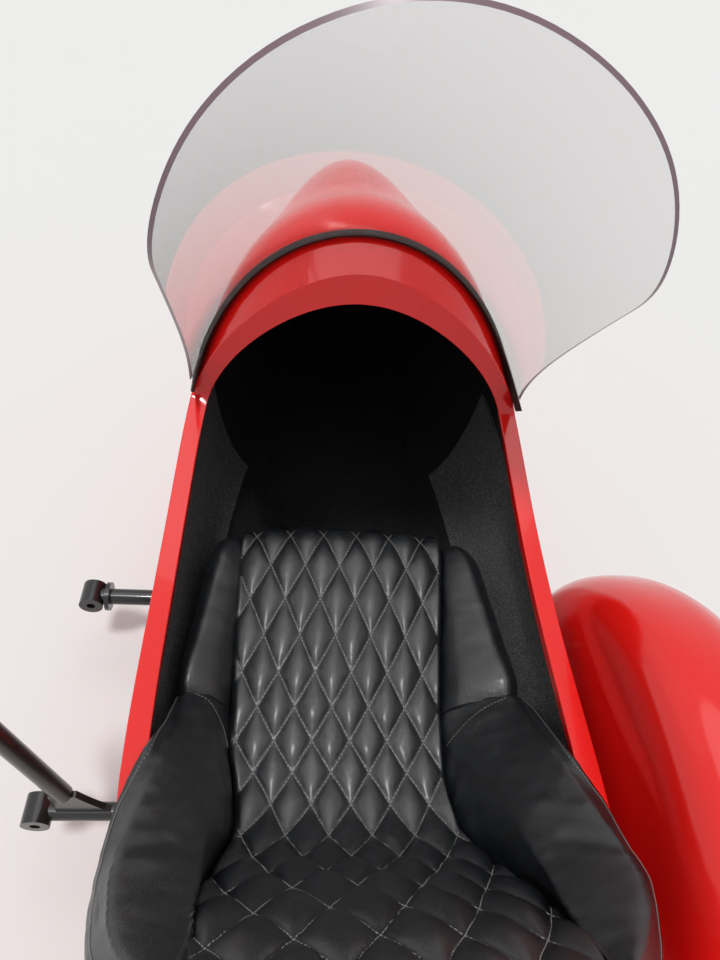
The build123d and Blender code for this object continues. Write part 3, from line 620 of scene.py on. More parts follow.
@dataclass
class Wardrobe:
    """Makes each finish once and hands it out."""

    made: dict = field(default_factory=dict)

    def get(self, finish: Finish) -> bpy.types.Material:
        """Material of a finish.

        Args:
            finish: the finish.

        Returns:
            Its material, made at the first call.
        """
        if finish not in self.made:
            self.made[finish] = finish.make()
        return self.made[finish]

    def dress(self, piece: Piece, *finishes: Finish) -> None:
        """Give a piece its finishes.

        Args:
            piece: the piece.
            finishes: one for each material index of its faces.
        """
        piece.data.materials.clear()
        for finish in finishes:
            piece.data.materials.append(self.get(finish))

    def hand_over(
        self, piece: Piece, slot: Slot, *finishes: Finish, body: str = "root"
    ) -> None:
        """Dress a finished piece and give it the body that carries it.

        Args:
            piece: the piece.
            slot: its material slot; not used.
            finishes: one for each material index of its faces.
            body: the body that it moves with.
        """
        self.dress(piece, *finishes)
        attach(piece, body)


def copy_solid(node: str, name: str) -> Piece:
    """A copy of a solid that takes its place.

    Args:
        node: the solid.
        name: the new piece.

    Returns:
        The copy, with a mesh of its own.
    """
    piece = bpy.data.objects.new(name, frame["nodes"][node].data.copy())
    bpy.context.scene.collection.objects.link(piece)
    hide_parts(node)
    return piece


def primitive(name: str, add: Callable, **shape: object) -> Piece:
    """A primitive added at its size and place, and left unturned and unscaled at the origin.

    Args:
        name: the piece's name.
        add: Blender's operator that adds it.
        shape: what the operator takes.

    Returns:
        The piece, active and alone selected.
    """
    bpy.ops.object.select_all(action="DESELECT")
    add(**shape)
    piece = bpy.context.object
    piece.name = name
    bpy.ops.object.transform_apply(location=True, rotation=True, scale=True)
    return piece


@contextmanager
def editing() -> Iterator[None]:
    """Edit mode with all of the active mesh selected, until the block ends.

    Yields:
        Once, in edit mode.
    """
    bpy.ops.object.mode_set(mode="EDIT")
    bpy.ops.mesh.select_all(action="SELECT")
    yield
    bpy.ops.object.mode_set(mode="OBJECT")


def break_edges(offset: float) -> None:
    """Small bevel on every edge of the active mesh."""
    with editing():
        bpy.ops.mesh.bevel(offset=offset, segments=2, affect="EDGES")


def cut_away(place: tuple, normal: tuple) -> None:
    """Cut the active mesh, keep what lies on the normal's side, and close it.

    Args:
        place: a point of the cutting plane.
        normal: the plane's normal.
    """
    with editing():
        bpy.ops.mesh.bisect(plane_co=place, plane_no=normal, use_fill=True, clear_inner=True)
        bpy.ops.mesh.select_all(action="SELECT")
        bpy.ops.mesh.normals_make_consistent(inside=False)


def shade(degrees: float = 30.0) -> None:
    """Smooth shading, apart from edges sharper than so many degrees."""
    bpy.ops.object.shade_smooth_by_angle(angle=math.radians(degrees))


def link_mesh(name: str, points: np.ndarray, faces: list) -> Piece:
    """New smooth object from points and faces.

    Args:
        name: the piece's name.
        points: corners, in the part's frame.
        faces: corner numbers of each face.

    Returns:
        The object, linked to the scene.
    """
    mesh = bpy.data.meshes.new(name)
    mesh.from_pydata([tuple(p) for p in points], [], faces)
    mesh.update()
    form = bmesh.new()
    form.from_mesh(mesh)
    bmesh.ops.recalc_face_normals(form, faces=form.faces)
    form.to_mesh(mesh)
    form.free()
    piece = bpy.data.objects.new(name, mesh)
    bpy.context.scene.collection.objects.link(piece)
    mesh.shade_smooth()
    return piece


def smooth_rows(rows: list, count: int, closed: bool = False, per_span: int = 24) -> np.ndarray:
    """Even samples on a smooth curve through rows of numbers.

    Args:
        rows: way points, each with the same number of columns; the first three are a place.
        count: number of samples.
        closed: whether the curve returns to its start.
        per_span: steps between two way points from which the samples are read.

    Returns:
        The samples, one row each.
    """
    knots = np.array(rows, float)
    if closed:
        knots = np.vstack([knots[-1], knots, knots[0], knots[1]])
    else:
        knots = np.vstack([2 * knots[0] - knots[1], knots, 2 * knots[-1] - knots[-2]])
    dense = []
    for index in range(1, len(knots) - 2):
        before, start, end, after = knots[index - 1 : index + 3]
        for share in np.linspace(0, 1, per_span, endpoint=False):
            linear = (end - before) * share
            square = (2 * before - 5 * start + 4 * end - after) * share**2
            cube = (3 * start - before - 3 * end + after) * share**3
            dense.append(0.5 * (2 * start + linear + square + cube))
    dense.append(knots[-2])
    dense = np.array(dense)
    steps = np.linalg.norm(np.diff(dense[:, :3], axis=0), axis=1)
    length = np.concatenate([[0], np.cumsum(steps)])
    wanted = np.linspace(0, length[-1], count, endpoint=not closed)
    return np.column_stack([np.interp(wanted, length, column) for column in dense.T])


def tube_faces(rows: int, columns: int) -> list:
    """Faces of a closed skin over rings, with both ends capped.

    Args:
        rows: number of rings.
        columns: corners of each ring.

    Returns:
        Corner numbers of each face.
    """
    faces = []
    for row in range(rows - 1):
        for column in range(columns):
            a = row * columns + column
            b = row * columns + (column + 1) % columns
            faces.append((a, b, b + columns, a + columns))
    faces.append(tuple(range(columns))[::-1])
    faces.append(tuple((rows - 1) * columns + column for column in range(columns)))
    return faces


def lump(place: np.ndarray, scale: float, seed: float) -> np.ndarray:
    """Smooth noise at many places, from about -1 to 1.

    Args:
        place: rows of two coordinates.
        scale: lumps to the metre.
        seed: picks one of many patterns.

    Returns:
        One value to a row.
    """
    return np.array([noise.noise(Vector((p[0] * scale, p[1] * scale, seed))) for p in place])


def lay(piece: Piece, point: np.ndarray, lift: float = 0.0004) -> np.ndarray:
    """Nearest place on a piece, a little above it.

    Args:
        piece: a piece at the origin.
        point: a place near its upper side.
        lift: height above the surface.

    Returns:
        The place.
    """
    _, where, normal, _ = piece.closest_point_on_mesh(Vector(point))
    up = normal if normal.z > 0 else -normal
    return np.array(where + up * lift)


@dataclass(frozen=True)
class Sewing:
    """One kind of stitch: a short thread, thin and sunk at both ends."""

    length: float
    radius: float
    sides: int = 5
    fill: float = 0.78
    rise: float = 0.3
    least: float = 1e-6
    upright: float = 0.9
    # place along the stitch, share of the radius
    rings: tuple = ((-0.5, 0.45), (-0.3, 1.0), (0.3, 1.0), (0.5, 0.45))

    def stitch(self, here: np.ndarray, after: np.ndarray) -> list:
        """Corners of one stitch.

        Args:
            here: start of its pitch.
            after: end of its pitch.

        Returns:
            The corners ring by ring, or none where the pitch has no length.
        """
        run = after - here
        pitch = np.linalg.norm(run)
        if pitch < self.least:
            return []
        run /= pitch
        helper = (0.0, 0.0, 1.0) if abs(run[2]) < self.upright else (0.0, 1.0, 0.0)
        side = np.cross(run, helper)
        side /= np.linalg.norm(side)
        up = np.cross(side, run)
        reach = min(self.length, pitch * self.fill)
        corners = []
        for offset, share in self.rings:
            centre = here + run * (pitch / 2 + offset * reach)
            for corner in range(self.sides):
                turn = 2 * math.pi * corner / self.sides
                spoke = side * math.cos(turn) + up * math.sin(turn)
                corners.append(centre + spoke * self.radius * share + up * self.radius * self.rise)
        return corners

    def sew(self, name: str, places: list, wardrobe: Wardrobe) -> None:
        """One piece with a stitch between each pair of places.

        Args:
            name: the piece's name.
            places: pairs of points, each pair one pitch apart.
            wardrobe: hands out the thread's material.
        """
        points = []
        faces = []
        tube = tube_faces(len(self.rings), self.sides)
        for here, after in places:
            corners = self.stitch(np.array(here), np.array(after))
            if corners:
                faces.extend(tuple(len(points) + corner for corner in face) for face in tube)
                points.extend(corners)
        piece = link_mesh(name, np.array(points), faces)
        wardrobe.hand_over(piece, Slot.VINYL, STITCH)


@dataclass
class SeatCover:
    """Quilted middle panel of the seat, one cover from the cushion's nose to the back's top."""

    wardrobe: Wardrobe
    puff: float = 0.0105
    back_puff: float = 0.3
    back_start: float = 0.52
    back_blend: float = 0.1
    plumpness: float = 0.5
    wave: float = 0.14
    wave_scale: float = 34.0
    wave_seed: float = 8.4
    pleat: float = 0.0007
    pleat_scale: float = 190.0
    pleat_seed: float = 3.1
    pleat_rise: float = 40.0
    pad: float = 0.035
    fill: float = 0.8
    under_columns: int = 5
    columns: int = 176
    row_pitch: float = 0.0044
    edge_wide: float = 0.06
    edge_flat: float = 0.9
    edge_drop: float = 0.008
    end_long: float = 0.016
    end_drop: float = 0.007
    line_samples: int = 900
    pattern_samples: int = 400
    tuck: float = 0.05
    lines: int = 14
    stitch_pitch: float = 0.0054
    stitch_lift: float = 0.0014
    margin: float = 0.012
    hem: float = 0.007
    thread: Sewing = Sewing(length=0.0046, radius=0.00066)

    # centre line ahead of the axle and above the road, half width on the left and right, crown
    PATH = [
        (0.462, 0.322, 0.172, 0.158, 0.002),
        (0.482, 0.342, 0.180, 0.165, 0.004),
        (0.488, 0.370, 0.185, 0.170, 0.008),
        (0.474, 0.393, 0.187, 0.166, 0.012),
        (0.425, 0.401, 0.187, 0.163, 0.014),
        (0.300, 0.383, 0.184, 0.151, 0.013),
        (0.200, 0.366, 0.178, 0.143, 0.010),
        (0.120, 0.354, 0.176, 0.140, 0.006),
        (0.060, 0.351, 0.163, 0.143, 0.002),
        (0.010, 0.362, 0.160, 0.154, 0.000),
        (-0.030, 0.395, 0.170, 0.172, 0.002),
        (-0.062, 0.440, 0.181, 0.182, 0.006),
        (-0.095, 0.497, 0.189, 0.194, 0.010),
        (-0.128, 0.557, 0.190, 0.199, 0.012),
        (-0.160, 0.616, 0.188, 0.198, 0.012),
        (-0.190, 0.668, 0.184, 0.195, 0.010),
        (-0.214, 0.705, 0.178, 0.190, 0.006),
        (-0.238, 0.727, 0.170, 0.182, 0.003),
        (-0.270, 0.728, 0.165, 0.176, 0.001),
        (-0.292, 0.708, 0.160, 0.170, 0.000),
    ]
    # distance along the centre line, diamonds counted along, place of a point of the pattern
    # across, width of a diamond
    PATTERN = [
        (0.000, -0.80, 0.0135, 0.0566),
        (0.095, 0.00, 0.0135, 0.0566),
        (0.213, 1.00, 0.0084, 0.0562),
        (0.332, 2.00, 0.0019, 0.0555),
        (0.433, 3.00, -0.0012, 0.0550),
        (0.521, 4.00, -0.0005, 0.0555),
        (0.620, 5.00, -0.0060, 0.0620),
        (0.745, 6.00, -0.0110, 0.0720),
        (0.889, 7.00, -0.0060, 0.0780),
        (1.070, 8.40, -0.0040, 0.0800),
    ]

    def __post_init__(self) -> None:
        """Sample the centre line and the pattern once."""
        self.line = smooth_rows([(0.0, *row) for row in self.PATH], self.line_samples)
        steps = np.linalg.norm(np.diff(self.line[:, :3], axis=0), axis=1)
        self.run = np.concatenate([[0.0], np.cumsum(steps)])
        self.total = float(self.run[-1])
        tangent = np.gradient(self.line[:, 1:3], axis=0)
        tangent /= np.linalg.norm(tangent, axis=1)[:, None]
        self.up = np.column_stack([tangent[:, 1], -tangent[:, 0]])
        rows = [(row[0], 0.0, 0.0, *row[1:]) for row in self.PATTERN]
        self.pattern = smooth_rows(rows, self.pattern_samples)

    def at(self, along: np.ndarray, table: np.ndarray, *columns: int) -> list:
        """Values of sampled columns at distances along the panel."""
        return [np.interp(along, self.run, table[:, column]) for column in columns]

    def motif(self, along: np.ndarray) -> tuple:
        """Count of diamonds, shift and width of the pattern at distances along the panel."""
        return tuple(np.interp(along, self.pattern[:, 0], self.pattern[:, k]) for k in (3, 4, 5))

    def quilting(self, along: np.ndarray, x: np.ndarray) -> np.ndarray:
        """Height of the padding between the stitched lines.

        Args:
            along: distances along the panel.
            x: metres from the centre line.

        Returns:
            Heights in metres.
        """
        count, shift, width = self.motif(along)
        place = (x - shift) / width
        hollow = np.abs(np.sin(math.pi * (place + count)) * np.sin(math.pi * (place - count)))
        plump = hollow**self.plumpness
        where = np.column_stack([x, along])
        wave = lump(where, self.wave_scale, self.wave_seed)
        beside = (1 - plump) * np.minimum(1, hollow * self.pleat_rise)
        pleat = lump(where, self.pleat_scale, self.pleat_seed) * beside
        back = np.clip((along - self.back_start) / self.back_blend, 0, 1)
        full = self.puff * (1 + self.back_puff * back)
        return full * plump * (1 + self.wave * wave) + self.pleat * pleat

    def surface(self, along: np.ndarray, x: np.ndarray, lift: float = 0.0) -> np.ndarray:
        """Points of the quilted surface.

        Args:
            along: distances along the panel.
            x: metres from the centre line.
            lift: extra height.

        Returns:
            One point in the part's frame to a row.
        """
        line_y, line_z, left, right, crown = self.at(along, self.line, 1, 2, 3, 4, 5)
        up_y, up_z = self.at(along, self.up, 0, 1)
        across = x / np.where(x < 0, left, right)
        height = crown * (1 - across**2) + self.quilting(along, x) + lift
        edge = np.clip((np.abs(across) - 1 + self.edge_wide) / self.edge_wide, 0, 1)
        ends = np.minimum(along, self.total - along)
        height = height * (1 - self.edge_flat * edge**2) - self.edge_drop * edge**2
        height -= self.end_drop * np.clip(1 - ends / self.end_long, 0, 1) ** 2
        return ZERO + np.column_stack([x, line_y + up_y * height, line_z + up_z * height])

    def under(self, top: np.ndarray, drop: np.ndarray) -> list:
        """Lower side of the pad below one row of its surface.

        Args:
            top: the row, from left to right.
            drop: the pad's thickness, downwards.

        Returns:
            The corners, from right to left.
        """
        first, last = top[0], top[-1]
        middle = (first + last) / 2
        low_first, low_last = (
            corner * (1 - self.tuck) + middle * self.tuck + drop for corner in (first, last)
        )
        floor = np.linspace(low_last, low_first, self.under_columns)
        return [last + drop / 2, *floor, first + drop / 2]

    def panel(self) -> Piece:
        """The closed padded panel.

        Returns:
            The panel.
        """
        count = int(self.total / self.row_pitch)
        along = np.linspace(0, self.total, count)
        left, right = self.at(along, self.line, 3, 4)
        across = np.linspace(-1, 1, self.columns)[None, :]
        x = across * np.where(across < 0, left[:, None], right[:, None])
        top = self.surface(np.repeat(along, self.columns), x.ravel())
        top = top.reshape(count, self.columns, 3)
        up_y, up_z = self.at(along, self.up, 0, 1)
        drops = np.column_stack([np.zeros(count), -up_y, -up_z]) * self.pad
        rings = [np.vstack([row, *self.under(row, drop)]) for row, drop in zip(top, drops)]
        piece = link_mesh("quilted_panel", np.vstack(rings), tube_faces(count, len(rings[0])))
        self.wardrobe.hand_over(piece, Slot.VINYL, VINYL)
        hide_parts("seat_cushion", "seat_back")
        return piece

    def stitches(self, panel: Piece) -> None:
        """Threads along every side of the diamonds, laid on the panel.

        Args:
            panel: the finished panel.
        """
        along = np.arange(self.margin, self.total - self.margin, self.stitch_pitch)
        count, shift, width = self.motif(along)
        left, right = self.at(along, self.line, 3, 4)
        places = []
        for number in range(-self.lines, self.lines + 1):
            for lean in (1, -1):
                x = shift + width * (number - lean * count)
                keep = (x > -left + self.hem) & (x < right - self.hem)
                if not keep.any():
                    continue
                points = self.surface(along, x, self.stitch_lift)
                laid = [lay(panel, point) if kept else None for point, kept in zip(points, keep)]
                pairs = zip(laid, laid[1:])
                places.extend(pair for pair in pairs if all(end is not None for end in pair))
        self.thread.sew("quilt_stitches", places, self.wardrobe)

    def build(self) -> None:
        """Panel and stitches."""
        self.stitches(self.panel())


@dataclass
class Bolsters:
    """Smooth sides of the seat: rolls beside the cushion, and wings of the back with a hem."""

    wardrobe: Wardrobe
    around: int = 72
    stations: int = 170
    outer: float = 0.254
    left_seam: float = 0.178
    hem_roll: float = 0.003
    fill: float = 0.7
    roll_slack: float = 0.6
    wing_slack: float = 1.0
    fold_seed: float = 5.0
    fold_scale: float = 11.0
    fold_deep: float = 0.0030
    crease_scale: tuple = (26.0, 60.0, 30.0)
    crease_deep: float = 0.0012
    fold_rise: float = 8.0
    fold_least: float = 0.3
    seam_share: float = 0.78
    seam_samples: int = 128
    across_samples: int = 22
    across_lift: float = 0.004
    thread: Sewing = Sewing(length=0.0030, radius=0.0005)

    # ahead of the axle; seam, crest and outer edge as (across, height); lowest height
    ROLL = [
        (0.478, 0.168, 0.346, 0.178, 0.356, 0.190, 0.346, 0.330),
        (0.468, 0.164, 0.380, 0.188, 0.400, 0.210, 0.376, 0.318),
        (0.430, 0.164, 0.394, 0.199, 0.418, 0.228, 0.386, 0.308),
        (0.350, 0.157, 0.386, 0.207, 0.422, 0.237, 0.390, 0.300),
        (0.270, 0.149, 0.373, 0.214, 0.426, 0.246, 0.396, 0.296),
        (0.215, 0.144, 0.364, 0.222, 0.430, 0.251, 0.404, 0.294),
        (0.190, 0.143, 0.360, 0.224, 0.424, 0.250, 0.404, 0.294),
        (0.176, 0.143, 0.356, 0.222, 0.414, 0.246, 0.398, 0.294),
    ]
    # section of a roll: shares of the seam's, crest's and outer edge's place across, metres
    # added; shares of their heights and of the lowest height, metres added
    ROLL_LOOP = [
        (1, 0, 0, 0, 1, 0, 0, 0, 0),
        (0.72, 0.28, 0, 0, 0.42, 0.58, 0, 0, 0),
        (0, 1, 0, 0, 0, 1, 0, 0, 0),
        (0, 0, 1, -0.007, 0, 0.5, 0.5, 0, 0.002),
        (0, 0, 1, 0, 0, 0, 1, 0, 0),
        (0, 0, 1, -0.004, 0, 0, 0.5, 0.5, 0),
        (0, 0, 1, -0.016, 0, 0, 0, 1, 0),
        (0.5, 0, 0.5, 0, 0, 0, 0, 1, 0),
        (1, 0, 0, 0.012, 0, 0, 0, 1, 0),
        (1, 0, 0, 0.004, 0.5, 0, 0, 0.5, 0),
    ]
    # panel's edge, inner crest, welt and hem, each as (across, ahead, height)
    WING_RIGHT = [
        (0.141, 0.172, 0.358, 0.222, 0.176, 0.414, 0.243, 0.176, 0.420, 0.247, 0.176, 0.424),
        (0.141, 0.130, 0.354, 0.214, 0.140, 0.434, 0.245, 0.142, 0.446, 0.251, 0.140, 0.464),
        (0.142, 0.088, 0.350, 0.205, 0.100, 0.448, 0.242, 0.105, 0.480, 0.250, 0.098, 0.504),
        (0.146, 0.042, 0.352, 0.197, 0.062, 0.464, 0.236, 0.066, 0.522, 0.2465, 0.047, 0.553),
        (0.156, 0.008, 0.366, 0.191, 0.016, 0.490, 0.240, 0.022, 0.558, 0.2575, 0.006, 0.569),
        (0.170, -0.026, 0.394, 0.188, -0.018, 0.514, 0.245, -0.018, 0.584, 0.267, -0.022, 0.577),
        (0.180, -0.055, 0.430, 0.187, -0.050, 0.536, 0.250, -0.046, 0.602, 0.2725, -0.052, 0.586),
        (0.188, -0.080, 0.470, 0.187, -0.080, 0.560, 0.254, -0.072, 0.619, 0.278, -0.082, 0.595),
        (0.195, -0.104, 0.512, 0.187, -0.106, 0.584, 0.257, -0.094, 0.634, 0.283, -0.106, 0.602),
        (0.199, -0.130, 0.560, 0.187, -0.132, 0.608, 0.256, -0.114, 0.648, 0.281, -0.130, 0.608),
        (0.199, -0.156, 0.608, 0.188, -0.158, 0.634, 0.247, -0.140, 0.662, 0.273, -0.160, 0.616),
        (0.197, -0.180, 0.652, 0.190, -0.182, 0.662, 0.230, -0.168, 0.678, 0.255, -0.192, 0.634),
        (0.193, -0.204, 0.690, 0.190, -0.204, 0.692, 0.208, -0.192, 0.696, 0.226, -0.212, 0.666),
    ]
    WING_LEFT = [
        (0.177, 0.172, 0.358, 0.222, 0.172, 0.414, 0.244, 0.166, 0.424, 0.248, 0.164, 0.428),
        (0.177, 0.130, 0.354, 0.216, 0.137, 0.440, 0.245, 0.134, 0.452, 0.249, 0.130, 0.464),
        (0.170, 0.088, 0.350, 0.204, 0.094, 0.452, 0.241, 0.102, 0.486, 0.2485, 0.096, 0.506),
        (0.162, 0.042, 0.352, 0.195, 0.060, 0.466, 0.2385, 0.070, 0.524, 0.2515, 0.056, 0.554),
        (0.162, 0.008, 0.366, 0.190, 0.014, 0.490, 0.243, 0.020, 0.558, 0.2635, 0.010, 0.568),
        (0.170, -0.026, 0.394, 0.187, -0.020, 0.512, 0.249, -0.018, 0.581, 0.2735, -0.030, 0.579),
        (0.179, -0.055, 0.430, 0.185, -0.050, 0.532, 0.254, -0.050, 0.599, 0.276, -0.060, 0.588),
        (0.185, -0.080, 0.470, 0.184, -0.080, 0.552, 0.256, -0.080, 0.617, 0.2765, -0.088, 0.596),
        (0.189, -0.104, 0.512, 0.183, -0.108, 0.576, 0.256, -0.108, 0.634, 0.276, -0.110, 0.602),
        (0.190, -0.130, 0.560, 0.182, -0.134, 0.600, 0.252, -0.132, 0.648, 0.274, -0.138, 0.608),
        (0.189, -0.156, 0.608, 0.180, -0.160, 0.624, 0.244, -0.158, 0.662, 0.267, -0.168, 0.617),
        (0.186, -0.180, 0.652, 0.180, -0.184, 0.658, 0.228, -0.180, 0.678, 0.250, -0.196, 0.637),
        (0.184, -0.204, 0.690, 0.182, -0.206, 0.692, 0.206, -0.202, 0.696, 0.222, -0.214, 0.668),
    ]
    # padding of a wing as (across, ahead, height): over the inner side, over the outer side,
    # under the hem, behind the back
    PADDING = [
        (-0.0050, 0.0050, 0.0070),
        (-0.0014, 0.0035, 0.00595),
        (0.0004, -0.0014, -0.00372),
        (0.0000, -0.0520, -0.0600),
    ]
    # section of a wing: shares of panel's edge, inner crest, welt and hem, then of the padding
    WING_LOOP = [
        (1, 0, 0, 0, 0, 0, 0, 0),
        (0.62, 0.38, 0, 0, 0.9, 0, 0, 0),
        (0.25, 0.75, 0, 0, 1, 0, 0, 0),
        (0, 1, 0, 0, 0.5, 0, 0, 0),
        (0, 0.5, 0.5, 0, 0, 1, 0, 0),
        (0, 0.12, 0.88, 0, 0, 0.6, 0, 0),
        (0, 0, 1, 0, 0, 0, 0, 0),
        (0, 0, 1, 0, 0, -0.35, 0, 0),
        (0, 0, 0.4, 0.6, 0, 0, 0, 0),
        (0, 0, 0, 1, 0, 0, 0, 0),
        (0, 0, 0, 1, 0, 0, 1, 0),
        (0, 0, 0.55, 0.45, 0, 0, 1, 0),
        (0, 0.08, 0.92, 0, 0, 0, 3, 0),
        (0, 0.25, 0.75, 0, 0, 0, 0, 0.6),
        (0.4, 0.6, 0, 0, 0, 0, 0, 0.9),
        (1, 0, 0, 0, 0, 0, 0, 0.7),
    ]
    HEM_TURN = 7
    # folds of both wings: start and end as (across, ahead, height), height of the fold, width
    FOLDS = [
        ((0.224, 0.170, 0.424), (0.144, 0.122, 0.356), -0.0026, 0.0035),
        ((0.224, 0.170, 0.424), (0.149, 0.045, 0.358), 0.0042, 0.0060),
        ((0.222, 0.160, 0.428), (0.150, 0.075, 0.358), -0.0020, 0.0080),
        ((0.218, 0.150, 0.432), (0.163, 0.010, 0.400), -0.0022, 0.0110),
        ((0.236, 0.020, 0.540), (0.196, 0.050, 0.480), 0.0026, 0.0090),
        ((0.248, -0.040, 0.596), (0.205, -0.010, 0.530), 0.0022, 0.0080),
        ((0.254, -0.085, 0.628), (0.212, -0.060, 0.580), -0.0022, 0.0090),
    ]

    def roll(self, side: Side) -> None:
        """Roll beside the cushion.

        Args:
            side: left or right.
        """
        section = np.array(self.ROLL_LOOP)
        rings = []
        for row in smooth_rows([(0.0, *row) for row in self.ROLL], self.stations):
            y, seam_x, seam_z, crest_x, crest_z, out_x, out_z, low = row[1:]
            x = section[:, :3] @ (seam_x, crest_x, out_x) + section[:, 3]
            z = section[:, 4:8] @ (seam_z, crest_z, out_z, low) + section[:, 8]
            loop = np.column_stack([x, np.zeros(len(x)), z])
            ring = smooth_rows(loop, self.around, closed=True)
            ring[:, 1] = y
            if side is Side.LEFT:
                share = np.clip((ring[:, 0] - seam_x) / (self.outer - seam_x), 0, 1)
                seam = max(seam_x, self.left_seam)
                ring[:, 0] = seam + share * (self.outer - seam)
            rings.append(ring * (side.value, 1, 1))
        self.finish("cushion_roll_", rings, side, "cushion_bolster_", self.roll_slack)

    def wing(self, side: Side) -> Piece:
        """Wing of the back, with the hem that lies over the cockpit's rim.

        Args:
            side: left or right.

        Returns:
            The wing.
        """
        section = np.array(self.WING_LOOP)
        rings = []
        for row in smooth_rows(self.table(side), self.stations):
            edges = row.reshape(4, 3)
            width = max(float(np.linalg.norm(edges[3] - edges[2])), 1e-5)
            turn = min(1.0, self.hem_roll / width)
            section[self.HEM_TURN, 2:4] = 1 - turn, turn
            loop = section @ np.vstack([edges, self.PADDING])
            rings.append(smooth_rows(loop, self.around, closed=True) * (side.value, 1, 1))
        return self.finish("wing_", rings, side, "back_bolster_", self.wing_slack)

    def table(self, side: Side) -> list:
        """Edges of the wing on one side."""
        return self.WING_RIGHT if side is Side.RIGHT else self.WING_LEFT

    def folds(self, points: np.ndarray, side: Side, slack: float) -> np.ndarray:
        """Height of the cover's folds at many points.

        Args:
            points: places in the part's frame.
            side: left or right.
            slack: depth of the loose folds, 1 for a loose cover.

        Returns:
            One height to a point.
        """
        seed = self.fold_seed + side.value
        fine = points * self.crease_scale + (0, 0, seed)
        loose = [
            noise.noise(Vector(place) * self.fold_scale + Vector((seed, 0, 0))) * self.fold_deep
            + noise.noise(Vector(detail)) * self.crease_deep
            for place, detail in zip(points, fine)
        ]
        heights = np.array(loose) * slack
        for start, end, height, width in self.FOLDS:
            start, end = (ZERO + np.array(place) * (side.value, 1, 1) for place in (start, end))
            run = end - start
            share = np.clip((points - start) @ run / (run @ run), 0, 1)
            gap = np.linalg.norm(points - start - share[:, None] * run, axis=1)
            fade = np.clip(share * self.fold_rise, self.fold_least, 1)
            heights += height * np.exp(-((gap / width) ** 2)) * fade
        return heights

    def finish(
        self, name: str, rings: list, side: Side, node: str, slack: float
    ) -> Piece:
        """Soften the rings with folds and hand the piece over.

        Args:
            name: the piece's name, without its side.
            rings: closed rings of points, from the centre plane, the axle and the road.
            side: left or right.
            node: name of the solid that the piece stands for, without its side.
            slack: depth of the loose folds, 1 for a loose cover.

        Returns:
            The piece.
        """
        points = np.vstack(rings) + ZERO
        hand = side.name.lower()
        piece = link_mesh(name + hand, points, tube_faces(len(rings), self.around))
        normals = np.array([vertex.normal for vertex in piece.data.vertices])
        folded = points + normals * self.folds(points, side, slack)[:, None]
        for vertex, place in zip(piece.data.vertices, folded):
            vertex.co = place
        self.wardrobe.hand_over(piece, Slot.VINYL, VINYL)
        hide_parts(node + hand)
        return piece

    def seams(self, wings: dict) -> None:
        """Stitched lines along the hem of both wings and across their front ends.

        Args:
            wings: the wing of each side.
        """
        places = []
        for side in (Side.RIGHT, Side.LEFT):
            edges = smooth_rows(self.table(side), self.seam_samples)
            hem = edges[:, 9:12] * self.seam_share + edges[:, 6:9] * (1 - self.seam_share)
            across = np.linspace(*self.FOLDS[0][:2], self.across_samples)
            across += (0.0, self.across_lift, self.across_lift)
            for line in (hem, across):
                laid = [lay(wings[side], point) for point in line * (side.value, 1, 1) + ZERO]
                places.extend(zip(laid, laid[1:]))
        self.thread.sew("wing_stitches", places, self.wardrobe)

    def build(self) -> None:
        """Both rolls and both wings."""
        wings = {}
        for side in Side:
            self.roll(side)
            wings[side] = self.wing(side)
        self.seams(wings)


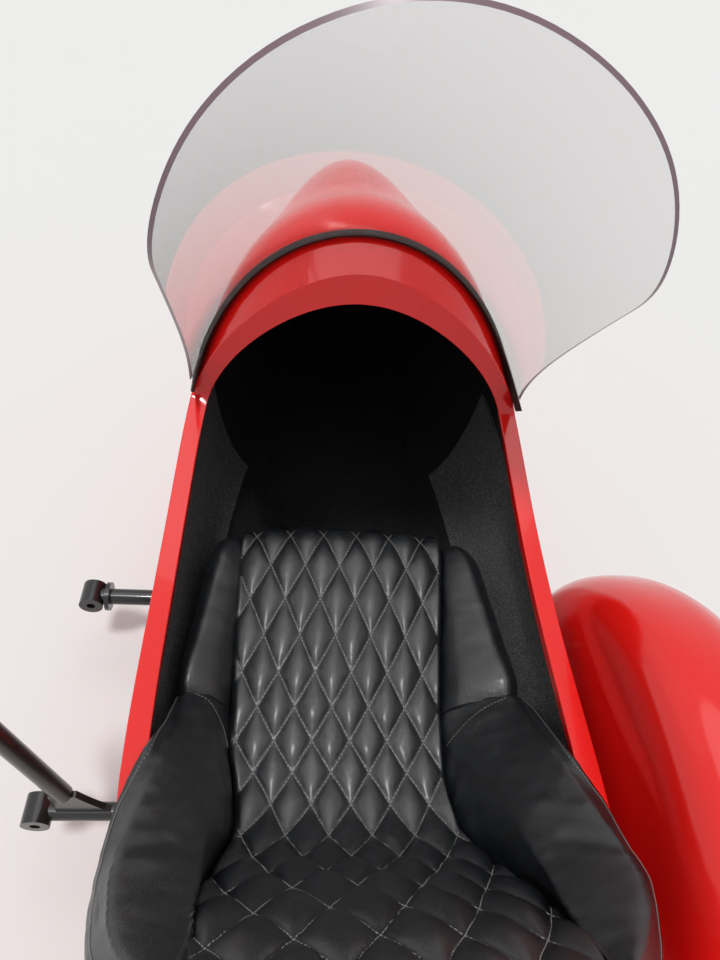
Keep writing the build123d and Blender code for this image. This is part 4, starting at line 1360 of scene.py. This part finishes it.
@dataclass
class Shell:
    """Painted body, fender, screen and the solids that keep their own mesh."""

    wardrobe: Wardrobe
    inward: float = -0.12
    waist_places: int = 60
    waist_reach: float = 0.06
    fender_half: float = 0.095
    fender_side: float = 0.290
    fullness: float = 2.9
    valance_x: float = 0.3064
    valance_thick: float = 0.0022
    valance_radius: float = 0.279
    valance_low: float = 0.400
    screen_radius: float = 0.275
    screen_rake: float = 46.4
    screen_foot: tuple = (0.787, 0.806)
    screen_edge: float = 0.7
    merge: float = 1e-5
    rim_roll: float = 0.006
    rim_segments: int = 5
    rim_smooth: float = 24.0
    rim_even: int = 80
    roll_from: float = 0.6
    roll_full: float = 1.0
    lip_end: float = 0.724
    lip_level: float = 0.02
    lip_lean: float = 0.45
    lip_side: float = 0.15
    over_seat: tuple = (0.0, 0.15, 1.0)

    def two_faced(
        self, node: str, name: str, inside: Finish, facing_in: Callable
    ) -> Piece:
        """Red copy of a solid, whose inner faces get a finish of their own.

        Args:
            node: the solid.
            name: the new piece.
            inside: finish of the inner faces.
            facing_in: tells whether a face is an inner one.

        Returns:
            The copy.
        """
        piece = copy_solid(node, name)
        body = frame["nodes"][node]["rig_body"]
        self.wardrobe.hand_over(piece, Slot.PAINT, RED, inside, body=body)
        for face in piece.data.polygons:
            face.material_index = int(facing_in(face))
        return piece

    def body(self) -> None:
        """Tub, upper body and lid, lined inside."""
        corners = [
            tuple(vertex.co)
            for node in ("tub", "upper_body", "coaming", "trunk_lid")
            for vertex in frame["nodes"][node].data.vertices
        ]
        corners = np.array(corners)
        places = np.linspace(corners[:, 1].min(), corners[:, 1].max(), self.waist_places)
        near = [corners[np.abs(corners[:, 1] - y) < self.waist_reach, 2] for y in places]
        waist = [(heights.min() + heights.max()) / 2 for heights in near]

        def facing_in(face: bpy.types.MeshPolygon) -> bool:
            """Whether a face looks at the body's middle line, halfway between floor and top.

            Args:
                face: a face of a copy.

            Returns:
                True for an inner face.
            """
            height = float(np.interp(face.center.y, places, waist))
            away = Vector((face.center.x - BODY_X, 0.0, face.center.z - height))
            return face.normal.dot(away.normalized()) < self.inward

        # inner faces of tub and upper body get the black carpet, whose darkness is painted shade
        self.two_faced("tub", "painted_tub", SHADED_CARPET, facing_in)
        self.two_faced("upper_body", "painted_upper", SHADED_CARPET, facing_in)
        self.two_faced("trunk_lid", "painted_lid", LINING, facing_in)

    def fender(self) -> None:
        """Fender, black towards the tyre, with a fuller shoulder on the body's side."""

        def facing_in(face: bpy.types.MeshPolygon) -> bool:
            """Whether a face looks at the middle of the fender's section.

            Args:
                face: a face of the copy.

            Returns:
                True for an inner face.
            """
            ring = Vector((0.0, face.center.y - HUB.y, face.center.z - HUB.z)).normalized()
            return face.normal.dot(face.center - HUB - ring * self.fender_side) < 0

        piece = self.two_faced("fender", "painted_fender", SATIN_BLACK, facing_in)
        for vertex in piece.data.vertices:
            radius = math.hypot(vertex.co.y - HUB.y, vertex.co.z - HUB.z)
            across = (HUB.x - vertex.co.x) / self.fender_half
            rise = (radius - self.fender_side) / self.fender_half
            if across <= 0 or rise <= 0:
                continue
            reach = math.hypot(across, rise)
            fuller = [reach * (part / reach) ** (2 / self.fullness) for part in (across, rise)]
            scale = (self.fender_side + self.fender_half * fuller[1]) / radius
            vertex.co.x = HUB.x - fuller[0] * self.fender_half
            vertex.co.y = HUB.y + (vertex.co.y - HUB.y) * scale
            vertex.co.z = HUB.z + (vertex.co.z - HUB.z) * scale

    def valance(self) -> None:
        """Closed inner side of the fender, from its edge down to a chord above the axle."""
        piece = primitive(
            "fender_valance",
            bpy.ops.mesh.primitive_cylinder_add,
            vertices=160,
            radius=self.valance_radius,
            depth=self.valance_thick,
            location=(BODY_X + self.valance_x, HUB.y, HUB.z),
            rotation=(0, math.pi / 2, 0),
        )
        cut_away((0, 0, ROAD_Z + self.valance_low), (0, 0, 1))
        shade()
        self.wardrobe.hand_over(piece, Slot.PAINT, RED)

    def screen(self) -> None:
        """Clear sheet, whose cut edge is tinted with a painted reflection of the red body."""
        piece = copy_solid("windscreen", "screen_sheet")
        self.wardrobe.hand_over(piece, Slot.ACRYLIC, SCREEN, SCREEN_EDGE_PAINTED_REFLECTION)
        rake = math.radians(self.screen_rake)
        up = Vector((0.0, -math.sin(rake), math.cos(rake)))
        back = Vector((0.0, -math.cos(rake), -math.sin(rake)))
        axis = spot(0.0, *self.screen_foot) + back * self.screen_radius
        for face in piece.data.polygons:
            away = face.center - axis
            away -= up * away.dot(up)
            facing = abs(face.normal.dot(away.normalized()))
            face.material_index = int(facing < self.screen_edge)

    def rim(self) -> None:
        """Rolled lip round the cockpit, with its corners rounded."""
        piece = copy_solid("coaming", "rolled_rim")
        self.wardrobe.hand_over(piece, Slot.PAINT, RED)
        self.weigh_lip(piece)
        roll = piece.modifiers.new("roll", "BEVEL")
        roll.limit_method = "WEIGHT"
        roll.width = self.rim_roll
        roll.segments = self.rim_segments
        bpy.ops.object.select_all(action="DESELECT")
        bpy.context.view_layer.objects.active = piece
        piece.select_set(True)
        bpy.ops.object.modifier_apply(modifier="roll")
        shade(self.rim_smooth)
        even = piece.modifiers.new("even", "WEIGHTED_NORMAL")
        even.weight = self.rim_even
        even.keep_sharp = True
        bpy.ops.object.modifier_apply(modifier="even")

    def weigh_lip(self, piece: Piece) -> None:
        """Mark the edges between the rim's cut faces and the rest for the bevel.

        Args:
            piece: the rim.
        """
        form = bmesh.new()
        form.from_mesh(piece.data)
        bmesh.ops.remove_doubles(form, verts=form.verts, dist=self.merge)
        bmesh.ops.recalc_face_normals(form, faces=form.faces)
        weight = form.edges.layers.float.new("bevel_weight_edge")
        for edge in form.edges:
            if len(edge.link_faces) != 2:
                continue
            one, other = (self.on_opening(face) for face in edge.link_faces)
            if one != other:
                bend = edge.calc_face_angle(0.0) - self.roll_from
                edge[weight] = min(1.0, max(0.0, bend / (self.roll_full - self.roll_from)))
        form.to_mesh(piece.data)
        form.free()

    def on_opening(self, face: bmesh.types.BMFace) -> bool:
        """Whether a face of the rim is the cut that looks into the cockpit.

        Args:
            face: the face.

        Returns:
            True for a cut face.
        """
        normal = face.normal
        centre = face.calc_center_median()
        behind = centre.y < AXLE_Y + self.lip_end
        level = abs(normal.x) < self.lip_level
        steep = abs(normal.y) > self.lip_lean or abs(centre.x - BODY_X) > self.lip_side
        return behind and level and steep and normal.dot(spot(*self.over_seat) - centre) > 0

    def build(self) -> None:
        """Dress the solids that keep their own mesh, then make the copies."""
        for finish, nodes in NODE_FINISHES.items():
            for node in nodes:
                self.wardrobe.dress(frame["nodes"][node], finish)
        self.body()
        self.fender()
        self.valance()
        self.rim()
        self.screen()


@dataclass
class Wheel:
    """Tread of the tyre, its carcass below the blocks, and the valve."""

    wardrobe: Wardrobe
    pitches: int = 76
    rows: tuple = (-0.040, -0.022, 0.0, 0.022, 0.040)
    block: tuple = (0.0145, 0.0185, 0.010)
    block_edge: float = 0.0009
    groove: float = 0.0035
    crown_from: float = 0.285
    crown_blend: float = 0.02
    valve_tip: float = 0.210
    valve_radius: float = 0.0038
    valve_long: float = 0.034
    valve_edge: float = 0.0008

    def carcass(self) -> None:
        """Copy of the tyre with its crown lowered to the bottom of the grooves."""
        piece = copy_solid("tyre", "tyre_carcass")
        for vertex in piece.data.vertices:
            y, z = vertex.co.y - AXLE_Y, vertex.co.z - AXLE_Z
            radius = math.hypot(y, z)
            share = min(1.0, max(0.0, (radius - self.crown_from) / self.crown_blend))
            scale = 1 - share * self.groove / radius
            vertex.co.y = AXLE_Y + y * scale
            vertex.co.z = AXLE_Z + z * scale
        self.wardrobe.hand_over(piece, Slot.TYRE, TYRE, body="wheel")

    def spin(self, steps: int, angle: float) -> None:
        """Copies of the selected faces round the axle, in edit mode."""
        bpy.ops.mesh.spin(steps=steps, dupli=True, angle=angle, center=HUB, axis=(1, 0, 0))

    def first_block(self, across: float, turned: bool) -> Piece:
        """One tread block on the tyre's own crown.

        Args:
            across: metres from the tyre's middle.
            turned: whether it sits half a pitch further round.

        Returns:
            The block.
        """
        start = HUB + Vector((across, 0.0, 1.0))
        where, normal = probe("tyre", start, Vector((0, 0, -1)))
        piece = primitive(
            "tread_block",
            bpy.ops.mesh.primitive_cube_add,
            size=1.0,
            location=where - normal * self.block[2] / 2,
            rotation=(0, math.atan2(normal.x, normal.z), 0),
            scale=self.block,
        )
        break_edges(self.block_edge)
        if turned:
            with editing():
                self.spin(1, math.pi / self.pitches)
                bpy.ops.mesh.select_all(action="INVERT")
                bpy.ops.mesh.delete(type="VERT")
        return piece

    def tread(self) -> None:
        """Blocks in rows, repeated round the axle."""
        blocks = [self.first_block(x, number % 2 == 1) for number, x in enumerate(self.rows)]
        bpy.ops.object.select_all(action="DESELECT")
        for block in blocks:
            block.select_set(True)
        bpy.context.view_layer.objects.active = blocks[0]
        bpy.ops.object.join()
        piece = bpy.context.object
        piece.name = "tyre_tread"
        with editing():
            copies = self.pitches - 1
            self.spin(copies, 2 * math.pi / self.pitches * copies)
        shade()
        self.wardrobe.hand_over(piece, Slot.TYRE, TYRE, body="wheel")

    def valve(self) -> None:
        """Valve stem through the rim."""
        piece = primitive(
            "valve_stem",
            bpy.ops.mesh.primitive_cylinder_add,
            vertices=20,
            radius=self.valve_radius,
            depth=self.valve_long,
            location=HUB + Vector((0.0, 0.0, self.valve_tip - self.valve_long / 2)),
        )
        break_edges(self.valve_edge)
        shade()
        self.wardrobe.hand_over(piece, Slot.CHROME, BRIGHT, body="wheel")

    def build(self) -> None:
        """Carcass, tread and valve, in that order."""
        self.carcass()
        self.tread()
        self.valve()


@dataclass
class Trim:
    """Bolts, screws and the fender's bead, which are too small for the solids."""

    wardrobe: Wardrobe
    largest_screw: float = 0.01
    edge_share: float = 0.12
    bead_x: float = 0.0935
    bead_radius: float = 0.268
    bead_thick: float = 0.0034
    bead_tilt: float = 4.0
    bead_smooth: float = 40.0

    # number, solid, start of a ray (across, ahead, height), its direction, head's width, height
    BOLTS = [
        (0, "fender_stays", (0.200, 0.2366, 0.470), (1, 0, 0), 0.013, 0.006),
        (1, "fender_stays", (0.200, -0.2366, 0.470), (1, 0, 0), 0.013, 0.006),
        (2, "leaf_spring_left", (-0.100, -0.240, 0.600), (0, 0, -1), 0.013, 0.006),
        (3, "leaf_spring_right", (0.100, -0.240, 0.600), (0, 0, -1), 0.013, 0.006),
        (4, "hinge_fixed", (-0.075, -0.398, 1.000), (0, 0, -1), 0.007, 0.002),
        (5, "hinge_fixed", (0.075, -0.398, 1.000), (0, 0, -1), 0.007, 0.002),
        (8, "hinge_moving", (-0.060, -0.444, 1.000), (0, 0, -1), 0.007, 0.002),
        (9, "hinge_moving", (0.060, -0.444, 1.000), (0, 0, -1), 0.007, 0.002),
        (11, "axle_bracket", (0.600, 0.092, 0.215), (-1, 0, 0), 0.016, 0.008),
        (12, "brake_plate", (0.200, -0.060, 0.340), (1, 0, 0), 0.012, 0.006),
        (13, "brake_plate", (0.200, -0.050, 0.280), (1, 0, 0), 0.012, 0.006),
    ]

    def bolts(self) -> None:
        """One head at each place, on the solid that its ray meets."""
        for number, node, start, way, width, height in self.BOLTS:
            where, normal = probe(node, spot(*start), Vector(way))
            piece = primitive(
                f"bolt_{number:02d}",
                bpy.ops.mesh.primitive_cylinder_add,
                vertices=6 if width > self.largest_screw else 24,
                radius=width / 2,
                depth=height,
                location=where + normal * height / 2,
                rotation=normal.to_track_quat("Z", "Y").to_euler(),
            )
            break_edges(min(width, height) * self.edge_share)
            shade()
            body = frame["nodes"][node]["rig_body"]
            self.wardrobe.hand_over(piece, Slot.CHROME, BRIGHT, body=body)

    def bead(self) -> None:
        """Rolled wire edge along the outer side of the fender."""
        piece = primitive(
            "fender_bead",
            bpy.ops.mesh.primitive_torus_add,
            major_segments=160,
            minor_segments=14,
            major_radius=self.bead_radius,
            minor_radius=self.bead_thick,
            location=HUB + Vector((self.bead_x, 0.0, 0.0)),
            rotation=(0, math.pi / 2, 0),
        )
        tilt = math.radians(self.bead_tilt)
        cut_away((0, AXLE_Y, AXLE_Z), (0, math.sin(tilt), math.cos(tilt)))
        shade(self.bead_smooth)
        self.wardrobe.hand_over(piece, Slot.PAINT, RED)

    def build(self) -> None:
        """Bolts and bead."""
        self.bolts()
        self.bead()


@dataclass
class Studio:
    """Floor, lamps, world and the camera at the photograph's angle."""

    wardrobe: Wardrobe
    floor_size: float = 40.0
    world_light: float = 0.36
    backdrop: float = 0.84
    lens: float = 27.0
    sensor: float = 36.0
    near: float = 0.05
    place: tuple = (-0.10965, -0.288, 1.3956)
    yaw: float = 8.53
    pitch: float = 47.58
    roll: float = 9.11

    # name, direction of the light, width in degrees, watts to the square metre
    SUNS = [
        ("key", (0.12, 0.28, -0.95), 8.0, 1.55),
        ("sheen", (0.0, -0.18, -0.98), 46.0, 0.65),
        ("fill", (0.5, -0.6, -0.6), 50.0, 0.10),
    ]

    def floor(self) -> None:
        """Plain pale floor at the height of the road."""
        size, place = self.floor_size, (0, 0, ROAD_Z)
        floor = primitive("floor", bpy.ops.mesh.primitive_plane_add, size=size, location=place)
        self.wardrobe.dress(floor, FLOOR)
        floor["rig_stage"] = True

    def world(self) -> None:
        """Even light, and a pale surround for the camera, gloss and glass."""
        world = bpy.data.worlds.new("studio")
        bpy.context.scene.world = world
        board = Board(world)
        path = board.add("ShaderNodeLightPath").outputs
        seen = board.wire(path["Is Camera Ray"]) + board.wire(path["Is Glossy Ray"])
        seen = seen + board.wire(path["Is Transmission Ray"])
        colour = board.mix(seen, (self.world_light,) * 3, (self.backdrop,) * 3)
        light = board.add("ShaderNodeBackground", None, {"Color": colour})
        board.add("ShaderNodeOutputWorld", None, {"Surface": light.outputs[0]})

    def suns(self) -> None:
        """Distant soft lamps."""
        for name, aim, spread, power in self.SUNS:
            data = bpy.data.lights.new(name, "SUN")
            data.angle = math.radians(spread)
            data.energy = power
            lamp = bpy.data.objects.new(name, data)
            bpy.context.scene.collection.objects.link(lamp)
            lamp.rotation_mode = "QUATERNION"
            lamp.rotation_quaternion = Vector(aim).to_track_quat("-Z", "Y")

    def camera(self) -> None:
        """Camera at the photograph's place and angle, for a picture of 720 by 960."""
        yaw, pitch, roll = (math.radians(a) for a in (self.yaw, self.pitch, self.roll))
        level = Vector((math.sin(yaw), math.cos(yaw), 0.0))
        ahead = level * math.cos(pitch) - Vector((0.0, 0.0, math.sin(pitch)))
        right = Vector((math.cos(yaw), -math.sin(yaw), 0.0))
        upright = right.cross(ahead)
        turned_right = right * math.cos(roll) + upright * math.sin(roll)
        turned_up = upright * math.cos(roll) - right * math.sin(roll)
        data = bpy.data.cameras.new("photo_camera")
        data.lens = self.lens
        data.sensor_width = self.sensor
        data.clip_start = self.near
        camera = bpy.data.objects.new("photo_camera", data)
        bpy.context.scene.collection.objects.link(camera)
        turn = Matrix((turned_right, turned_up, -ahead)).transposed().to_4x4()
        camera.matrix_world = Matrix.Translation(spot(*self.place)) @ turn
        bpy.context.scene.camera = camera

    def build(self) -> None:
        """Set the whole stage."""
        bpy.context.scene.view_settings.view_transform = "Standard"
        self.floor()
        self.world()
        self.camera()
        self.suns()


def main() -> None:
    """Build the stage and every sub-assembly, in order."""
    logging.basicConfig(level=logging.INFO, format="%(message)s")
    wardrobe = Wardrobe()
    for assembly in (Studio, Shell, SeatCover, Bolsters, Wheel, Trim):
        assembly(wardrobe).build()
    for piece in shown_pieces():
        LOG.info("%s: %d faces", piece.name, len(piece.data.polygons))


if __name__ == "__main__":
    main()
